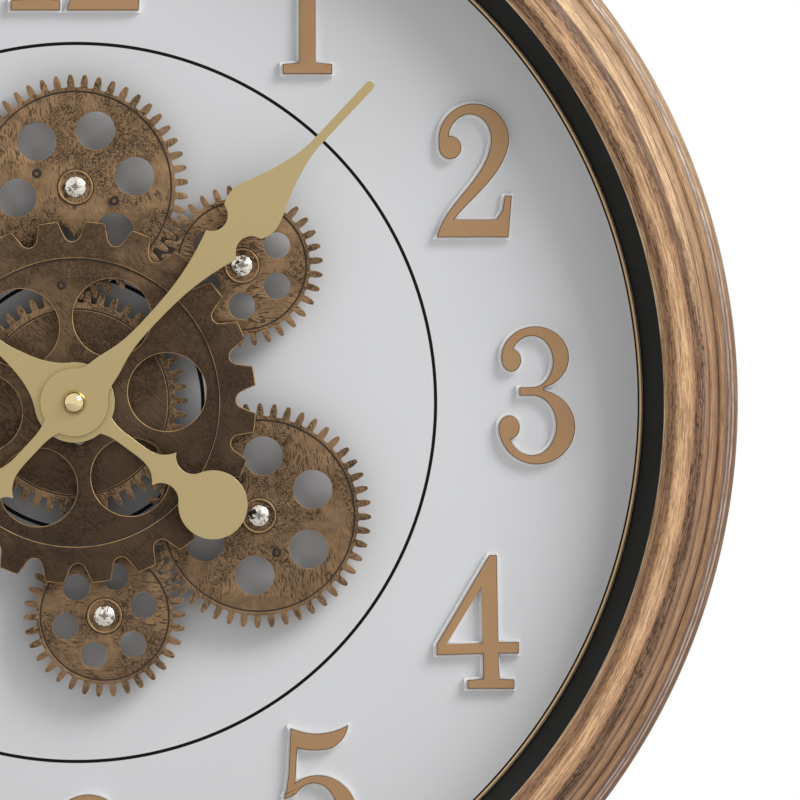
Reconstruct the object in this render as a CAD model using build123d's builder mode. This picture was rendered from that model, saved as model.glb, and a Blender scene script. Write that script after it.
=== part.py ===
"""Round wall clock with a recessed dial and a train of turning show gears in front of it.

Millimetres. The arbor axis is the Y axis, the wall is the plane Y = 0, the clock faces -Y and +Z is up.
Depths in the names below are distances from the wall, so a depth d lies at Y = -d.
"""
from build123d import *
from math import acos, atan2, cos, degrees, hypot, pi, radians, sin, sqrt, tan
import os

# Fits
run_gap = 0.05  # radial clearance of a turning shaft in its hole
seat_gap = 0.03  # radial clearance of a fixed or pressed piece in its hole
end_gap = 0.3  # axial play of a turning piece
face_gap = 0.2  # clearance of a fixed piece in its pocket

# Wooden frame ring
frame_outer_r = 295.0
frame_rear_step = 4.0
frame_lip_r = 261.6
frame_bore_r = 265.0
frame_rear_bore_r = 273.0
frame_depth = 70.0
frame_side_depth = 45.0
frame_bevel_depth = 12.0
lip_thickness = 8.0
outer_bead_w = 4.7
reed_w = 4.2
reed_step = 4.2
reed_rise = 1.5
band_drop = 7.5

# Dial, black liner and gilt trim
dial_back = 24.0
dial_thickness = 4.0
liner_foot_r = 253.2
liner_lip_cover = 0.6
trim_inner_r = 251.6
trim_outer_r = 253.0
trim_height = 1.6
trim_bevel = 0.4

# Clips that hold the dial in the frame
clip_count = 6
clip_length = 15.0
clip_width = 10.0
clip_thickness = 2.0
clip_first_angle = 30.0

# Keyhole hanger
hanger_width = 48.0
hanger_height = 14.0
hanger_thickness = 1.5
hanger_sink = 0.2
hanger_inset = 9.0
keyhole_r = 3.6
keyhole_slot_r = 2.0
keyhole_rise = 4.4
hanger_screw_span = 36.0
hanger_pocket_depth = 10.0

# Wood screws with countersunk heads, used for the hanger, the clips, the centre post and the wheel
screw_r = 1.4
screw_head_r = 2.8
screw_head_h = 1.4
screw_length = 10.0

# Gear train: one sun, three large and three small satellites on one orbit
gear_module = 2.0
sun_teeth = 48
large_teeth = 48
small_teeth = 34
gear_standoff = 8.0
gear_thickness = 5.0
gear_phase = 1.0
large_angles = (90.0, -31.7, -150.0)
tooth_pressure_angle = 14.5
tooth_share = 0.44
addendum_share = 1.07
dedendum_share = 1.5
crown_share = 0.28
web_sink = 0.6
web_rim = 1.9
large_hole_r = 8.7
large_hole_orbit = 26.7
small_hole_r = 5.9
small_hole_orbit = 18.0
hole_count = 6
large_hole_angles = (10.5, 26.0, 41.0)
large_mark_turns = (-30.0, -90.0, -30.0)
small_hole_angles = (30.0, 15.0, 0.0)
stud_mark_r = 1.8
stud_mark_h = 0.5
large_mark_orbit = 18.3
collar_r = 7.8
collar_wall = 0.9
collar_h = 1.0
sun_groove_w = 0.8
sun_groove_depth = 0.5

# Posts, screws and nuts of the satellites
post_base_r = 8.0
post_base_h = 6.0
post_journal_r = 4.0
post_stud_r = 3.0
post_stud_out = 2.4
post_nut_flats = 10.0
pan_head_r = 4.7
pan_head_h = 2.6
pan_shank_r = 2.0
pan_shank_length = 7.0
cross_width = 1.2
cross_length = 5.2
cross_depth = 1.1

# Coarse front wheel
wheel_gap = 2.0
wheel_thickness = 5.0
wheel_teeth = 24
wheel_tip_r = 80.7
wheel_flank_r = 73.8
wheel_root_r = 71.7
wheel_tip_w = 8.5
wheel_flank_w = 12.8
wheel_phase = 8.5
wheel_web_r = 64.2
wheel_web_sink = 1.0
wheel_hole_r = 17.4
wheel_hole_orbit = 41.2
wheel_hole_angle = 6.5
wheel_mark_orbit = 52.6
wheel_mark_angle = 96.5
wheel_mark_count = 1
edge_break = 0.5

# Centre post, hub sleeve and drive wheel
centre_flange_r = 20.0
centre_flange_h = 3.0
centre_post_r = 9.0
centre_screw_orbit = 15.0
sun_boss_r = 14.0
sun_hub_r = 20.0
sun_sleeve_r = 12.0
wheel_screw_orbit = 16.0
drive_module = 0.85
drive_teeth = 72
pinion_teeth = 12
drive_thickness = 3.4
drive_set_back = 0.8
washer_r = 11.5
washer_h = 0.8

# Gear motor unit behind the dial
motor_case_near = 28.6
motor_case_w = 74.4
motor_case_h = 74.0
motor_case_depth = 20.0
case_wall = 1.6
cover_thickness = 1.6
gear_motor_r = 17.0
gear_motor_depth = 14.0
gear_motor_offset = 11.9
motor_shaft_r = 2.0
motor_shaft_seat = 10.0
ear_w = 12.0
ear_h = 10.0
ear_thickness = 2.0
case_screw_r = 1.2
case_screw_head_r = 2.6
case_screw_head_h = 1.4
case_screw_length = 8.0
case_boss_r = 3.0
dial_screw_bite = 3.0
cell_r = 7.1
cell_length = 50.0
cell_nub_r = 2.7
cell_nub_h = 1.0
cell_pitch = 15.0
switch_h = 6.0
switch_depth = 4.0
switch_out = 3.0
switch_travel = 4.0
switch_plate_h = 13.0
switch_plate_w = 1.2

# Quartz movement behind the dial
movement_size = 56.0
movement_depth = 16.6
bush_r = 4.6
movement_nut_flats = 15.0
movement_nut_h = 2.2
arbor_r = 2.2
arbor_thread_r = 1.6
pivot_r = 1.0
hour_tube_r = 3.3
motion_module = 0.5
cannon_teeth = 12
minute_wheel_teeth = 36
minute_pinion_teeth = 10
hour_wheel_teeth = 40
motion_wheel_h = 1.8
knob_r = 8.0
knob_h = 3.6
knob_flutes = 18
coil_w = 8.0
coil_length = 22.0
coil_depth = 8.0
board_w = 12.0
board_h = 27.0
board_thickness = 1.6
coil_x = -20.0
coil_z = 8.0
board_x = 19.5
board_z = 4.5
movement_cell_z = -19.0

# Hands, with the angles clockwise from twelve that the clock shows
hand_gap = 1.6
hands_gap = 1.8
hand_thickness = 1.2
minute_angle = 43.0
hour_angle = 306.5
arm_fillet_share = 0.5
arm_root_w = 6.3
arm_root_s = 6.0
arm_mid_w = 4.1
arm_mid_s = 14.5
minute_hub_r = 15.1
minute_waist_w = 2.45
minute_waist_s = 51.0
minute_collar_w = 9.4
minute_collar_s = 95.9
minute_neck_w = 5.0
minute_neck_s = 102.2
minute_spade_w = 13.1
minute_spade_s = 116.8
minute_bar_w = 2.0
minute_bar_s = 160.0
minute_length = 194.4
hour_hub_r = 17.9
hour_waist_w = 2.7
hour_waist_s = 44.0
hour_collar_w = 10.6
hour_collar_s = 62.0
hour_neck_w = 5.4
hour_neck_s = 67.6
hour_spade_w = 16.5
hour_spade_s = 82.0
hour_bar_w = 2.3
hour_bar_s = 116.0
hour_length = 134.0
tail_root_w = 4.6
tail_w = 2.6
tail_collar_w = 9.2
tail_collar_s = 49.6
tail_neck_w = 4.4
tail_neck_s = 57.0
tail_disc_r = 15.4
tail_disc_s = 76.5
nut_r = 5.4
nut_h = 5.0
nut_skirt = 1.4

# Numerals
numeral_h = 59.7
numeral_orbit = 205.0
numeral_base_h = 2.6
numeral_face_h = 1.8
numeral_border = 1.0
numeral_base_shift = 0.4
digit_gap = 3.0

# Depths worked out from the sizes above
dial_front = dial_back + dial_thickness
liner_front = frame_depth - lip_thickness
gear_back = dial_front + gear_standoff
gear_front = gear_back + gear_thickness
web_front = gear_front - web_sink
wheel_back = gear_front + wheel_gap
wheel_front = wheel_back + wheel_thickness
wheel_web_front = wheel_front - wheel_web_sink
post_seat = dial_front + post_base_h
post_end = web_front + end_gap
centre_post_end = wheel_front
washer_front = centre_post_end + washer_h
movement_nut_front = washer_front + movement_nut_h
hour_hand_back = movement_nut_front + hand_gap
hour_hand_front = hour_hand_back + hand_thickness
minute_hand_back = hour_hand_front + hands_gap
minute_hand_front = minute_hand_back + hand_thickness
clip_back = dial_back - clip_thickness
motor_cover_front = dial_back - motor_case_depth
movement_cover_front = dial_back - movement_depth
case_inside = dial_back - case_wall

# Radii and centres worked out from the sizes above
sun_pitch_r = sun_teeth * gear_module / 2
large_pitch_r = large_teeth * gear_module / 2
small_pitch_r = small_teeth * gear_module / 2
orbit_r = sun_pitch_r + large_pitch_r
pair_distance = large_pitch_r + small_pitch_r
small_lag = degrees(acos(1 - pair_distance**2 / (2 * orbit_r**2)))
pinion_distance = (drive_teeth + pinion_teeth) * drive_module / 2
motion_distance = (cannon_teeth + minute_wheel_teeth) * motion_module / 2
hour_module = 2 * motion_distance / (minute_pinion_teeth + hour_wheel_teeth)
clip_screw_r = (frame_bore_r + frame_rear_bore_r) / 2
frame_rear_r = frame_outer_r - frame_rear_step
hanger_r = frame_rear_r - hanger_inset
motor_case_far = motor_case_near + motor_case_w
motor_case_x = (motor_case_near + motor_case_far) / 2
ear_z = (motor_case_h + ear_h) / 2
gear_motor_x = pinion_distance + gear_motor_offset
cell_depth = case_inside - end_gap - cell_r
outer_cell_x = motor_case_far - case_wall - switch_plate_w - cell_r - 2 * face_gap - end_gap


def front(depth):
    """The plane facing the viewer at a distance from the wall."""
    return Plane.XZ.offset(depth)


def polar(radius, angle, centre=(0.0, 0.0)):
    """The X and Z of a point at a radius and an angle in degrees."""
    return (centre[0] + radius * cos(radians(angle)), centre[1] + radius * sin(radians(angle)))


def disc(radius, start, stop, centre=(0.0, 0.0), mode=Mode.ADD):
    """A round slice between two depths."""
    with BuildSketch(front(start)) as face:
        with Locations(centre):
            Circle(radius)
    extrude(face.sketch, amount=stop - start, mode=mode)


def block(width, height, start, stop, centre=(0.0, 0.0), mode=Mode.ADD):
    """A rectangular slice between two depths."""
    with BuildSketch(front(start)) as face:
        with Locations(centre):
            Rectangle(width, height)
    extrude(face.sketch, amount=stop - start, mode=mode)


def turned(profile, centre=(0.0, 0.0), mode=Mode.ADD):
    """A turned solid from (radius, depth) corners, about the line through centre square to the wall."""
    x, z = centre
    with BuildSketch(Plane.XY.offset(z)) as face:
        with BuildLine() as edge:
            Polyline(*[(x + radius, -depth) for radius, depth in profile], close=True)
        make_face(edge.edges())
    revolve(face.sketch, axis=Axis((x, 0, z), (0, 1, 0)), mode=mode)


def countersunk(seat, centre, facing=1, gap=0.0, mode=Mode.ADD):
    """A countersunk screw whose flat head lies at depth seat, facing the viewer (1) or the wall (-1)."""
    head = seat - facing * screw_head_h
    point = seat - facing * screw_length
    shank = screw_r + gap
    turned([(0, seat), (screw_head_r + gap, seat), (shank, head), (shank, point), (0, point)], centre, mode)


def dome_middle(radius, rise):
    """A point halfway along the section of a round cap: its distance from the axis and its height."""
    ball_r = (radius**2 + rise**2) / (2 * rise)
    out = radius * 0.6
    return out, sqrt(ball_r**2 - out**2) - (ball_r - rise)


def involute(angle):
    return tan(angle) - angle


def toothed(teeth, module, phase, start, stop, centre=(0.0, 0.0)):
    """A spur wheel slice: involute flanks, rounded crowns and rounded roots, one tooth centred on phase."""
    pitch_r = teeth * module / 2
    base_r = pitch_r * cos(radians(tooth_pressure_angle))
    tip_r = pitch_r + addendum_share * module
    root_r = pitch_r - dedendum_share * module
    flank_r = tip_r - crown_share * module
    half_at_pitch = tooth_share * pi / teeth + involute(radians(tooth_pressure_angle))

    def half_angle(radius):
        return degrees(half_at_pitch - involute(acos(min(1.0, base_r / radius))))

    step = 360 / teeth
    with BuildSketch(front(start)) as face:
        with BuildLine() as edge:
            for tooth in range(teeth):
                mid = phase + tooth * step
                left = [polar(r, mid - half_angle(r), centre) for r in (root_r, pitch_r, flank_r)]
                right = [polar(r, mid + half_angle(r), centre) for r in (root_r, pitch_r, flank_r)]
                following = polar(root_r, mid + step - half_angle(root_r), centre)
                ThreePointArc(*left)
                ThreePointArc(left[2], polar(tip_r, mid, centre), right[2])
                ThreePointArc(*reversed(right))
                ThreePointArc(right[0], polar(root_r - crown_share * module, mid + step / 2, centre), following)
        make_face(edge.edges())
    extrude(face.sketch, amount=stop - start)


def mesh_phase(teeth_1, phase_1, teeth_2, direction):
    """The phase that puts gear 2, lying in a direction from gear 1, in mesh with it."""
    return direction + 180 - (180 - teeth_1 * (direction - phase_1)) / teeth_2


def save(piece, name):
    piece.part.label = name
    export_step(piece.part, f"parts/{name}.step")


os.makedirs("parts", exist_ok=True)

# Frame ring: a moulded ring with a broad rounded band, two reeds and an outer bead, and a pocket for the hanger
reed_1_r = frame_outer_r - outer_bead_w
reed_2_r = reed_1_r - reed_w
band_outer_r = reed_2_r - reed_w
band_outer_depth = frame_depth - band_drop
reed_2_depth = band_outer_depth - reed_step
reed_1_depth = reed_2_depth - reed_step
band_inner_depth = liner_front + lip_thickness / 3
band_top_r = frame_lip_r + (band_outer_r - frame_lip_r) * 0.45

clip_angles = [clip_first_angle + 360 / clip_count * k for k in range(clip_count)]
clip_screw_places = [polar(clip_screw_r, angle) for angle in clip_angles]
hanger_screw_places = [(x * hanger_screw_span / 2, hanger_r) for x in (-1, 1)]
hanger_front = hanger_sink + hanger_thickness
keyhole_z = hanger_r - keyhole_rise / 2 + (keyhole_r - keyhole_slot_r) / 2

with BuildPart() as frame_ring:
    with BuildSketch(Plane.XY):
        with BuildLine():
            Polyline(
                (band_outer_r, -band_outer_depth + reed_rise),
                (band_outer_r, -band_outer_depth),
            )
            ThreePointArc(
                (band_outer_r, -band_outer_depth),
                (band_top_r, -frame_depth),
                (frame_lip_r, -band_inner_depth),
            )
            Polyline(
                (frame_lip_r, -band_inner_depth),
                (frame_lip_r, -liner_front),
                (frame_bore_r, -liner_front),
                (frame_bore_r, -dial_back),
                (frame_rear_bore_r, -dial_back),
                (frame_rear_bore_r, 0),
                (frame_rear_r, 0),
                (frame_outer_r, -frame_bevel_depth),
                (frame_outer_r, -frame_side_depth),
            )
            ThreePointArc(
                (frame_outer_r, -frame_side_depth),
                (frame_outer_r - outer_bead_w * 0.3, -frame_side_depth - outer_bead_w * 0.75),
                (reed_1_r, -frame_side_depth - outer_bead_w),
            )
            Line((reed_1_r, -frame_side_depth - outer_bead_w), (reed_1_r, -reed_1_depth + reed_rise))
            ThreePointArc(
                (reed_1_r, -reed_1_depth + reed_rise),
                (reed_1_r - reed_w / 2, -reed_1_depth - reed_rise),
                (reed_2_r, -reed_2_depth + 2 * reed_rise),
            )
            Line((reed_2_r, -reed_2_depth + 2 * reed_rise), (reed_2_r, -reed_2_depth + reed_rise))
            ThreePointArc(
                (reed_2_r, -reed_2_depth + reed_rise),
                (reed_2_r - reed_w / 2, -reed_2_depth - reed_rise),
                (band_outer_r, -band_outer_depth + reed_rise),
            )
        make_face()
    revolve(axis=Axis.Y)
    seat_w = hanger_width + 2 * face_gap
    seat_h = hanger_height + 2 * face_gap
    block(seat_w, seat_h, 0, hanger_front, (0, hanger_r), Mode.SUBTRACT)
    pocket_h = keyhole_rise + 2 * keyhole_r
    block(3 * keyhole_r, pocket_h, 0, hanger_pocket_depth, (0, keyhole_z + keyhole_rise / 2), Mode.SUBTRACT)
    for place in hanger_screw_places:
        disc(screw_r + seat_gap, 0, hanger_sink + screw_length, place, Mode.SUBTRACT)
    for place in clip_screw_places:
        disc(screw_r + seat_gap, dial_back, clip_back + screw_length, place, Mode.SUBTRACT)
save(frame_ring, "frame_ring")

# Black liner: a ring between the dial and the frame's lip, coned inwards to the dial
with BuildPart() as liner_ring:
    liner_outer_r = frame_bore_r - face_gap
    turned([
        (liner_foot_r, dial_front),
        (liner_outer_r, dial_front),
        (liner_outer_r, liner_front),
        (frame_lip_r + liner_lip_cover, liner_front),
    ])
save(liner_ring, "liner_ring")

# Gilt trim: a thin bead on the dial, round the foot of the liner
with BuildPart() as trim_ring:
    with BuildSketch(Plane.XY):
        with BuildLine():
            Polyline(
                (trim_inner_r, -dial_front),
                (trim_outer_r, -dial_front),
                (trim_outer_r, -dial_front - trim_height + trim_bevel),
                (trim_outer_r - trim_bevel, -dial_front - trim_height),
                (trim_inner_r + trim_bevel, -dial_front - trim_height),
                (trim_inner_r, -dial_front - trim_height + trim_bevel),
                close=True,
            )
        make_face()
    revolve(axis=Axis.Y)
save(trim_ring, "trim_ring")

# Places of the satellites, clockwise pairs of one large and one small gear
small_angles = [angle - small_lag for angle in large_angles]
large_places = [polar(orbit_r, angle) for angle in large_angles]
small_places = [polar(orbit_r, angle) for angle in small_angles]
satellite_places = large_places + small_places
centre_screw_places = [polar(centre_screw_orbit, 30 + 120 * k) for k in range(3)]
ear_screw_places = [(motor_case_x, z * ear_z) for z in (-1, 1)]
pinion_place = (pinion_distance, 0.0)
pinion_tip_r = (pinion_teeth / 2 + addendum_share) * drive_module

# Dial board with holes for the movement, the posts, the pinion and the screws
with BuildPart() as dial_board:
    disc(frame_bore_r - face_gap, dial_back, dial_front)
    disc(bush_r + face_gap, dial_back, dial_front, mode=Mode.SUBTRACT)
    disc(pinion_tip_r + end_gap, dial_back, dial_front, pinion_place, Mode.SUBTRACT)
    for place in satellite_places:
        disc(post_stud_r + seat_gap, dial_back, dial_front, place, Mode.SUBTRACT)
    for place in centre_screw_places:
        disc(screw_r + seat_gap, dial_back, dial_front, place, Mode.SUBTRACT)
    for place in ear_screw_places:
        disc(case_screw_r + seat_gap, dial_back, dial_back + dial_screw_bite + face_gap, place, Mode.SUBTRACT)
save(dial_board, "dial_board")

# Clips on the frame's shoulder, over the edge of the dial board
with BuildPart() as dial_clips:
    for angle in clip_angles:
        outer_edge = frame_rear_bore_r - end_gap - clip_width**2 / (8 * frame_rear_bore_r)
        with BuildSketch(front(clip_back)) as clip:
            with Locations(Location(polar(outer_edge - clip_length / 2, angle) + (0,), angle)):
                RectangleRounded(clip_length, clip_width, clip_width / 4)
        extrude(clip.sketch, amount=clip_thickness)
    for place in clip_screw_places:
        countersunk(clip_back, place, facing=-1, gap=seat_gap, mode=Mode.SUBTRACT)
save(dial_clips, "dial_clips")

with BuildPart() as clip_screws:
    for place in clip_screw_places:
        countersunk(clip_back, place, facing=-1)
save(clip_screws, "clip_screws")

# Keyhole hanger, let into the back of the frame
with BuildPart() as hanger_plate:
    block(hanger_width, hanger_height, hanger_sink, hanger_front, (0, hanger_r))
    disc(keyhole_r, hanger_sink, hanger_front, (0, keyhole_z), Mode.SUBTRACT)
    disc(keyhole_slot_r, hanger_sink, hanger_front, (0, keyhole_z + keyhole_rise), Mode.SUBTRACT)
    slot_centre = (0, keyhole_z + keyhole_rise / 2)
    block(2 * keyhole_slot_r, keyhole_rise, hanger_sink, hanger_front, slot_centre, Mode.SUBTRACT)
    for place in hanger_screw_places:
        countersunk(hanger_sink, place, facing=-1, gap=seat_gap, mode=Mode.SUBTRACT)
save(hanger_plate, "hanger_plate")

with BuildPart() as hanger_screws:
    for place in hanger_screw_places:
        countersunk(hanger_sink, place, facing=-1)
save(hanger_screws, "hanger_screws")

# Centre post: a flanged tube that the sun gear turns on and the movement's bush passes through
with BuildPart() as centre_post:
    flange_front = dial_front + centre_flange_h
    disc(centre_flange_r, dial_front, flange_front)
    disc(centre_post_r, flange_front, centre_post_end)
    disc(bush_r + face_gap, dial_front, centre_post_end, mode=Mode.SUBTRACT)
    for place in centre_screw_places:
        countersunk(flange_front, place, gap=seat_gap, mode=Mode.SUBTRACT)
save(centre_post, "centre_post")

with BuildPart() as centre_screws:
    for place in centre_screw_places:
        head = flange_front - screw_head_h
        turned([
            (0, flange_front),
            (screw_head_r, flange_front),
            (screw_r, head),
            (screw_r, dial_back),
            (0, dial_back),
        ], place)
save(centre_screws, "centre_screws")

# Sun gear, with a boss behind for the drive wheel and a hub and sleeve in front for the coarse wheel
wheel_screw_places = [polar(wheel_screw_orbit, wheel_hole_angle + 30 + 120 * k) for k in range(3)]
sun_boss_back = flange_front + end_gap
sun_sleeve_end = centre_post_end - end_gap
with BuildPart() as sun_gear:
    toothed(sun_teeth, gear_module, gear_phase, gear_back, gear_front)
    disc(sun_boss_r, sun_boss_back, gear_back)
    disc(sun_hub_r, gear_front, wheel_back)
    disc(sun_sleeve_r, wheel_back, sun_sleeve_end)
    disc(centre_post_r + run_gap, sun_boss_back, sun_sleeve_end, mode=Mode.SUBTRACT)
    groove_r = sun_pitch_r - dedendum_share * gear_module - 2 * web_rim
    turned([
        (groove_r, gear_front),
        (groove_r + sun_groove_w, gear_front),
        (groove_r + sun_groove_w, gear_front - sun_groove_depth),
        (groove_r, gear_front - sun_groove_depth),
    ], mode=Mode.SUBTRACT)
    for place in wheel_screw_places:
        disc(screw_r + seat_gap, wheel_web_front - screw_length - face_gap, wheel_back, place, Mode.SUBTRACT)
save(sun_gear, "sun_gear")

drive_back = flange_front + drive_set_back
drive_front = drive_back + drive_thickness
drive_phase = 0.0
with BuildPart() as drive_wheel:
    toothed(drive_teeth, drive_module, drive_phase, drive_back, drive_front)
    disc(sun_boss_r + seat_gap, drive_back, drive_front, mode=Mode.SUBTRACT)
save(drive_wheel, "drive_wheel")

# Coarse front wheel: trapezoid teeth with round gullets, a raised rim and six round windows
with BuildPart() as main_wheel:
    wheel_step = 360 / wheel_teeth
    tip_half = degrees(wheel_tip_w / 2 / wheel_tip_r)
    flank_half = degrees(wheel_flank_w / 2 / wheel_flank_r)
    with BuildSketch(front(wheel_back)):
        with BuildLine():
            for tooth in range(wheel_teeth):
                mid = wheel_phase + tooth * wheel_step
                foot = polar(wheel_flank_r, mid + flank_half)
                following = polar(wheel_flank_r, mid + wheel_step - flank_half)
                Line(polar(wheel_flank_r, mid - flank_half), polar(wheel_tip_r, mid - tip_half))
                ThreePointArc(
                    polar(wheel_tip_r, mid - tip_half),
                    polar(wheel_tip_r, mid),
                    polar(wheel_tip_r, mid + tip_half),
                )
                Line(polar(wheel_tip_r, mid + tip_half), foot)
                ThreePointArc(foot, polar(wheel_root_r, mid + wheel_step / 2), following)
        make_face()
    extrude(amount=wheel_thickness)
    chamfer(main_wheel.faces().sort_by(Axis.Y)[0].edges(), edge_break)
    disc(wheel_web_r, wheel_web_front, wheel_front, mode=Mode.SUBTRACT)
    for k in range(hole_count):
        centre = polar(wheel_hole_orbit, wheel_hole_angle + 60 * k)
        wide = wheel_hole_r + edge_break
        turned([
            (0, wheel_back),
            (wheel_hole_r, wheel_back),
            (wheel_hole_r, wheel_web_front - edge_break),
            (wide, wheel_web_front),
            (0, wheel_web_front),
        ], centre, Mode.SUBTRACT)
    for k in range(wheel_mark_count):
        mark = polar(wheel_mark_orbit, wheel_mark_angle + 120 * k)
        disc(stud_mark_r, wheel_web_front, wheel_web_front + stud_mark_h, mark)
    disc(sun_sleeve_r + seat_gap, wheel_back, wheel_front, mode=Mode.SUBTRACT)
    for place in wheel_screw_places:
        countersunk(wheel_web_front, place, gap=seat_gap, mode=Mode.SUBTRACT)
save(main_wheel, "main_wheel")

with BuildPart() as wheel_screws:
    for place in wheel_screw_places:
        countersunk(wheel_web_front, place)
save(wheel_screws, "wheel_screws")


def satellite(teeth, phase, centre, hole_r, hole_orbit, hole_angle, mark_angles, mark_orbit):
    """Cuts and adds the features of a satellite gear to the part being built."""
    root_r = teeth * gear_module / 2 - dedendum_share * gear_module
    web_r = root_r - web_rim
    toothed(teeth, gear_module, phase, gear_back, gear_front, centre)
    disc(web_r, web_front, gear_front, centre, Mode.SUBTRACT)
    disc(post_base_r, post_seat + end_gap, gear_back, centre)
    disc(collar_r, web_front, web_front + collar_h, centre)
    disc(collar_r - collar_wall, web_front, web_front + collar_h, centre, Mode.SUBTRACT)
    for k in range(hole_count):
        disc(hole_r, gear_back, gear_front, polar(hole_orbit, hole_angle + 60 * k, centre), Mode.SUBTRACT)
    for angle in mark_angles:
        disc(stud_mark_r, web_front, web_front + stud_mark_h, polar(mark_orbit, angle, centre))
    disc(post_journal_r + run_gap, post_seat, gear_front, centre, Mode.SUBTRACT)


# Large satellites, each in mesh with the sun
large_phases = [mesh_phase(sun_teeth, gear_phase, large_teeth, angle) for angle in large_angles]
for k in range(3):
    hole_angle = large_hole_angles[k]
    mark_angle = hole_angle + large_mark_turns[k]
    marks = (mark_angle, mark_angle + 180)
    with BuildPart() as large_gear:
        satellite(large_teeth, large_phases[k], large_places[k], large_hole_r, large_hole_orbit,
                  hole_angle, marks, large_mark_orbit)
    save(large_gear, f"large_gear_{k + 1}")

# Small satellites, each in mesh with the large gear before it
for k in range(3):
    dx = small_places[k][0] - large_places[k][0]
    dz = small_places[k][1] - large_places[k][1]
    phase = mesh_phase(large_teeth, large_phases[k], small_teeth, degrees(atan2(dz, dx)))
    marks = (small_hole_angles[k] + 90,)
    with BuildPart() as small_gear:
        satellite(small_teeth, phase, small_places[k], small_hole_r, small_hole_orbit,
                  small_hole_angles[k], marks, small_hole_orbit)
    save(small_gear, f"small_gear_{k + 1}")

# Posts of the satellites, with a stud through the dial, a nut behind it and a cross-head screw in front
stud_end = dial_back - post_stud_out
with BuildPart() as gear_posts:
    for place in satellite_places:
        turned([
            (0, stud_end),
            (post_stud_r, stud_end),
            (post_stud_r, dial_front),
            (post_base_r, dial_front),
            (post_base_r, post_seat),
            (post_journal_r, post_seat),
            (post_journal_r, post_end),
            (0, post_end),
        ], place)
        disc(pan_shank_r + seat_gap, post_end - pan_shank_length - face_gap, post_end, place, Mode.SUBTRACT)
save(gear_posts, "gear_posts")

with BuildPart() as post_nuts:
    for place in satellite_places:
        with BuildSketch(front(stud_end)) as nut:
            with Locations(place):
                RegularPolygon(post_nut_flats / 2, 6, major_radius=False)
                Circle(post_stud_r + seat_gap, mode=Mode.SUBTRACT)
        extrude(nut.sketch, amount=post_stud_out)
save(post_nuts, "post_nuts")

with BuildPart() as gear_screws:
    head_front = post_end + pan_head_h
    head_side = post_end + pan_head_h / 3
    cap_r, cap_h = dome_middle(pan_head_r, head_front - head_side)
    for place in satellite_places:
        x, z = place
        with BuildSketch(Plane.XY.offset(z)) as half:
            with BuildLine() as edge:
                Polyline(
                    (x + pan_head_r, -head_side),
                    (x + pan_head_r, -post_end),
                    (x + pan_shank_r, -post_end),
                    (x + pan_shank_r, -post_end + pan_shank_length),
                    (x, -post_end + pan_shank_length),
                    (x, -head_front),
                )
                ThreePointArc(
                    (x, -head_front),
                    (x + cap_r, -head_side - cap_h),
                    (x + pan_head_r, -head_side),
                )
            make_face(edge.edges())
        revolve(half.sketch, axis=Axis((x, 0, z), (0, 1, 0)))
        block(cross_width, cross_length, head_front - cross_depth, head_front, place, Mode.SUBTRACT)
        block(cross_length, cross_width, head_front - cross_depth, head_front, place, Mode.SUBTRACT)
save(gear_screws, "gear_screws")

# Washer that keeps the sun gear on the centre post, and the nut of the movement's bush
with BuildPart() as retaining_washer:
    disc(washer_r, centre_post_end, washer_front)
    disc(bush_r + face_gap, centre_post_end, washer_front, mode=Mode.SUBTRACT)
save(retaining_washer, "retaining_washer")

with BuildPart() as movement_nut:
    with BuildSketch(front(washer_front)):
        RegularPolygon(movement_nut_flats / 2, 6, major_radius=False)
        Circle(bush_r + seat_gap, mode=Mode.SUBTRACT)
    extrude(amount=movement_nut_h)
save(movement_nut, "movement_nut")

# Gear motor unit: case, cover, sealed gear motor, two cells, on-off slide and output pinion
corner_inset = case_wall + case_boss_r - face_gap
motor_boss_places = [
    (motor_case_x + x * (motor_case_w / 2 - corner_inset), z * (motor_case_h / 2 - corner_inset))
    for x in (-1, 1)
    for z in (-1, 1)
]
switch_rest = -switch_travel / 2
switch_slot_h = switch_h + switch_travel + 2 * face_gap
with BuildPart() as motor_case:
    block(motor_case_w, motor_case_h, motor_cover_front, dial_back, (motor_case_x, 0))
    inner = (motor_case_w - 2 * case_wall, motor_case_h - 2 * case_wall)
    block(*inner, motor_cover_front, case_inside, (motor_case_x, 0), Mode.SUBTRACT)
    for place in motor_boss_places:
        disc(case_boss_r, motor_cover_front, case_inside, place)
        tip = motor_cover_front + case_screw_length
        disc(case_screw_r + seat_gap, motor_cover_front, tip, place, Mode.SUBTRACT)
    for place in ear_screw_places:
        block(ear_w, ear_h, dial_back - ear_thickness, dial_back, place)
        disc(case_screw_r + seat_gap, dial_back - ear_thickness, dial_back, place, Mode.SUBTRACT)
    disc(motor_shaft_r + end_gap, case_inside, dial_back, pinion_place, Mode.SUBTRACT)
    slot_place = (motor_case_far - case_wall / 2, 0)
    slot_depth = switch_depth / 2 + face_gap
    slot_back, slot_front = cell_depth - slot_depth, cell_depth + slot_depth
    block(2 * case_wall, switch_slot_h, slot_back, slot_front, slot_place, Mode.SUBTRACT)
save(motor_case, "motor_case")

with BuildPart() as motor_cover:
    cover_back = motor_cover_front - cover_thickness
    block(motor_case_w, motor_case_h, cover_back, motor_cover_front, (motor_case_x, 0))
    for place in motor_boss_places:
        disc(case_screw_r + seat_gap, cover_back, motor_cover_front, place, Mode.SUBTRACT)
save(motor_cover, "motor_cover")

with BuildPart() as gear_motor:
    disc(gear_motor_r, case_inside - gear_motor_depth, case_inside, (gear_motor_x, 0))
    disc(motor_shaft_r + run_gap, case_inside - motor_shaft_seat, case_inside, pinion_place, Mode.SUBTRACT)
save(gear_motor, "gear_motor")

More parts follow.
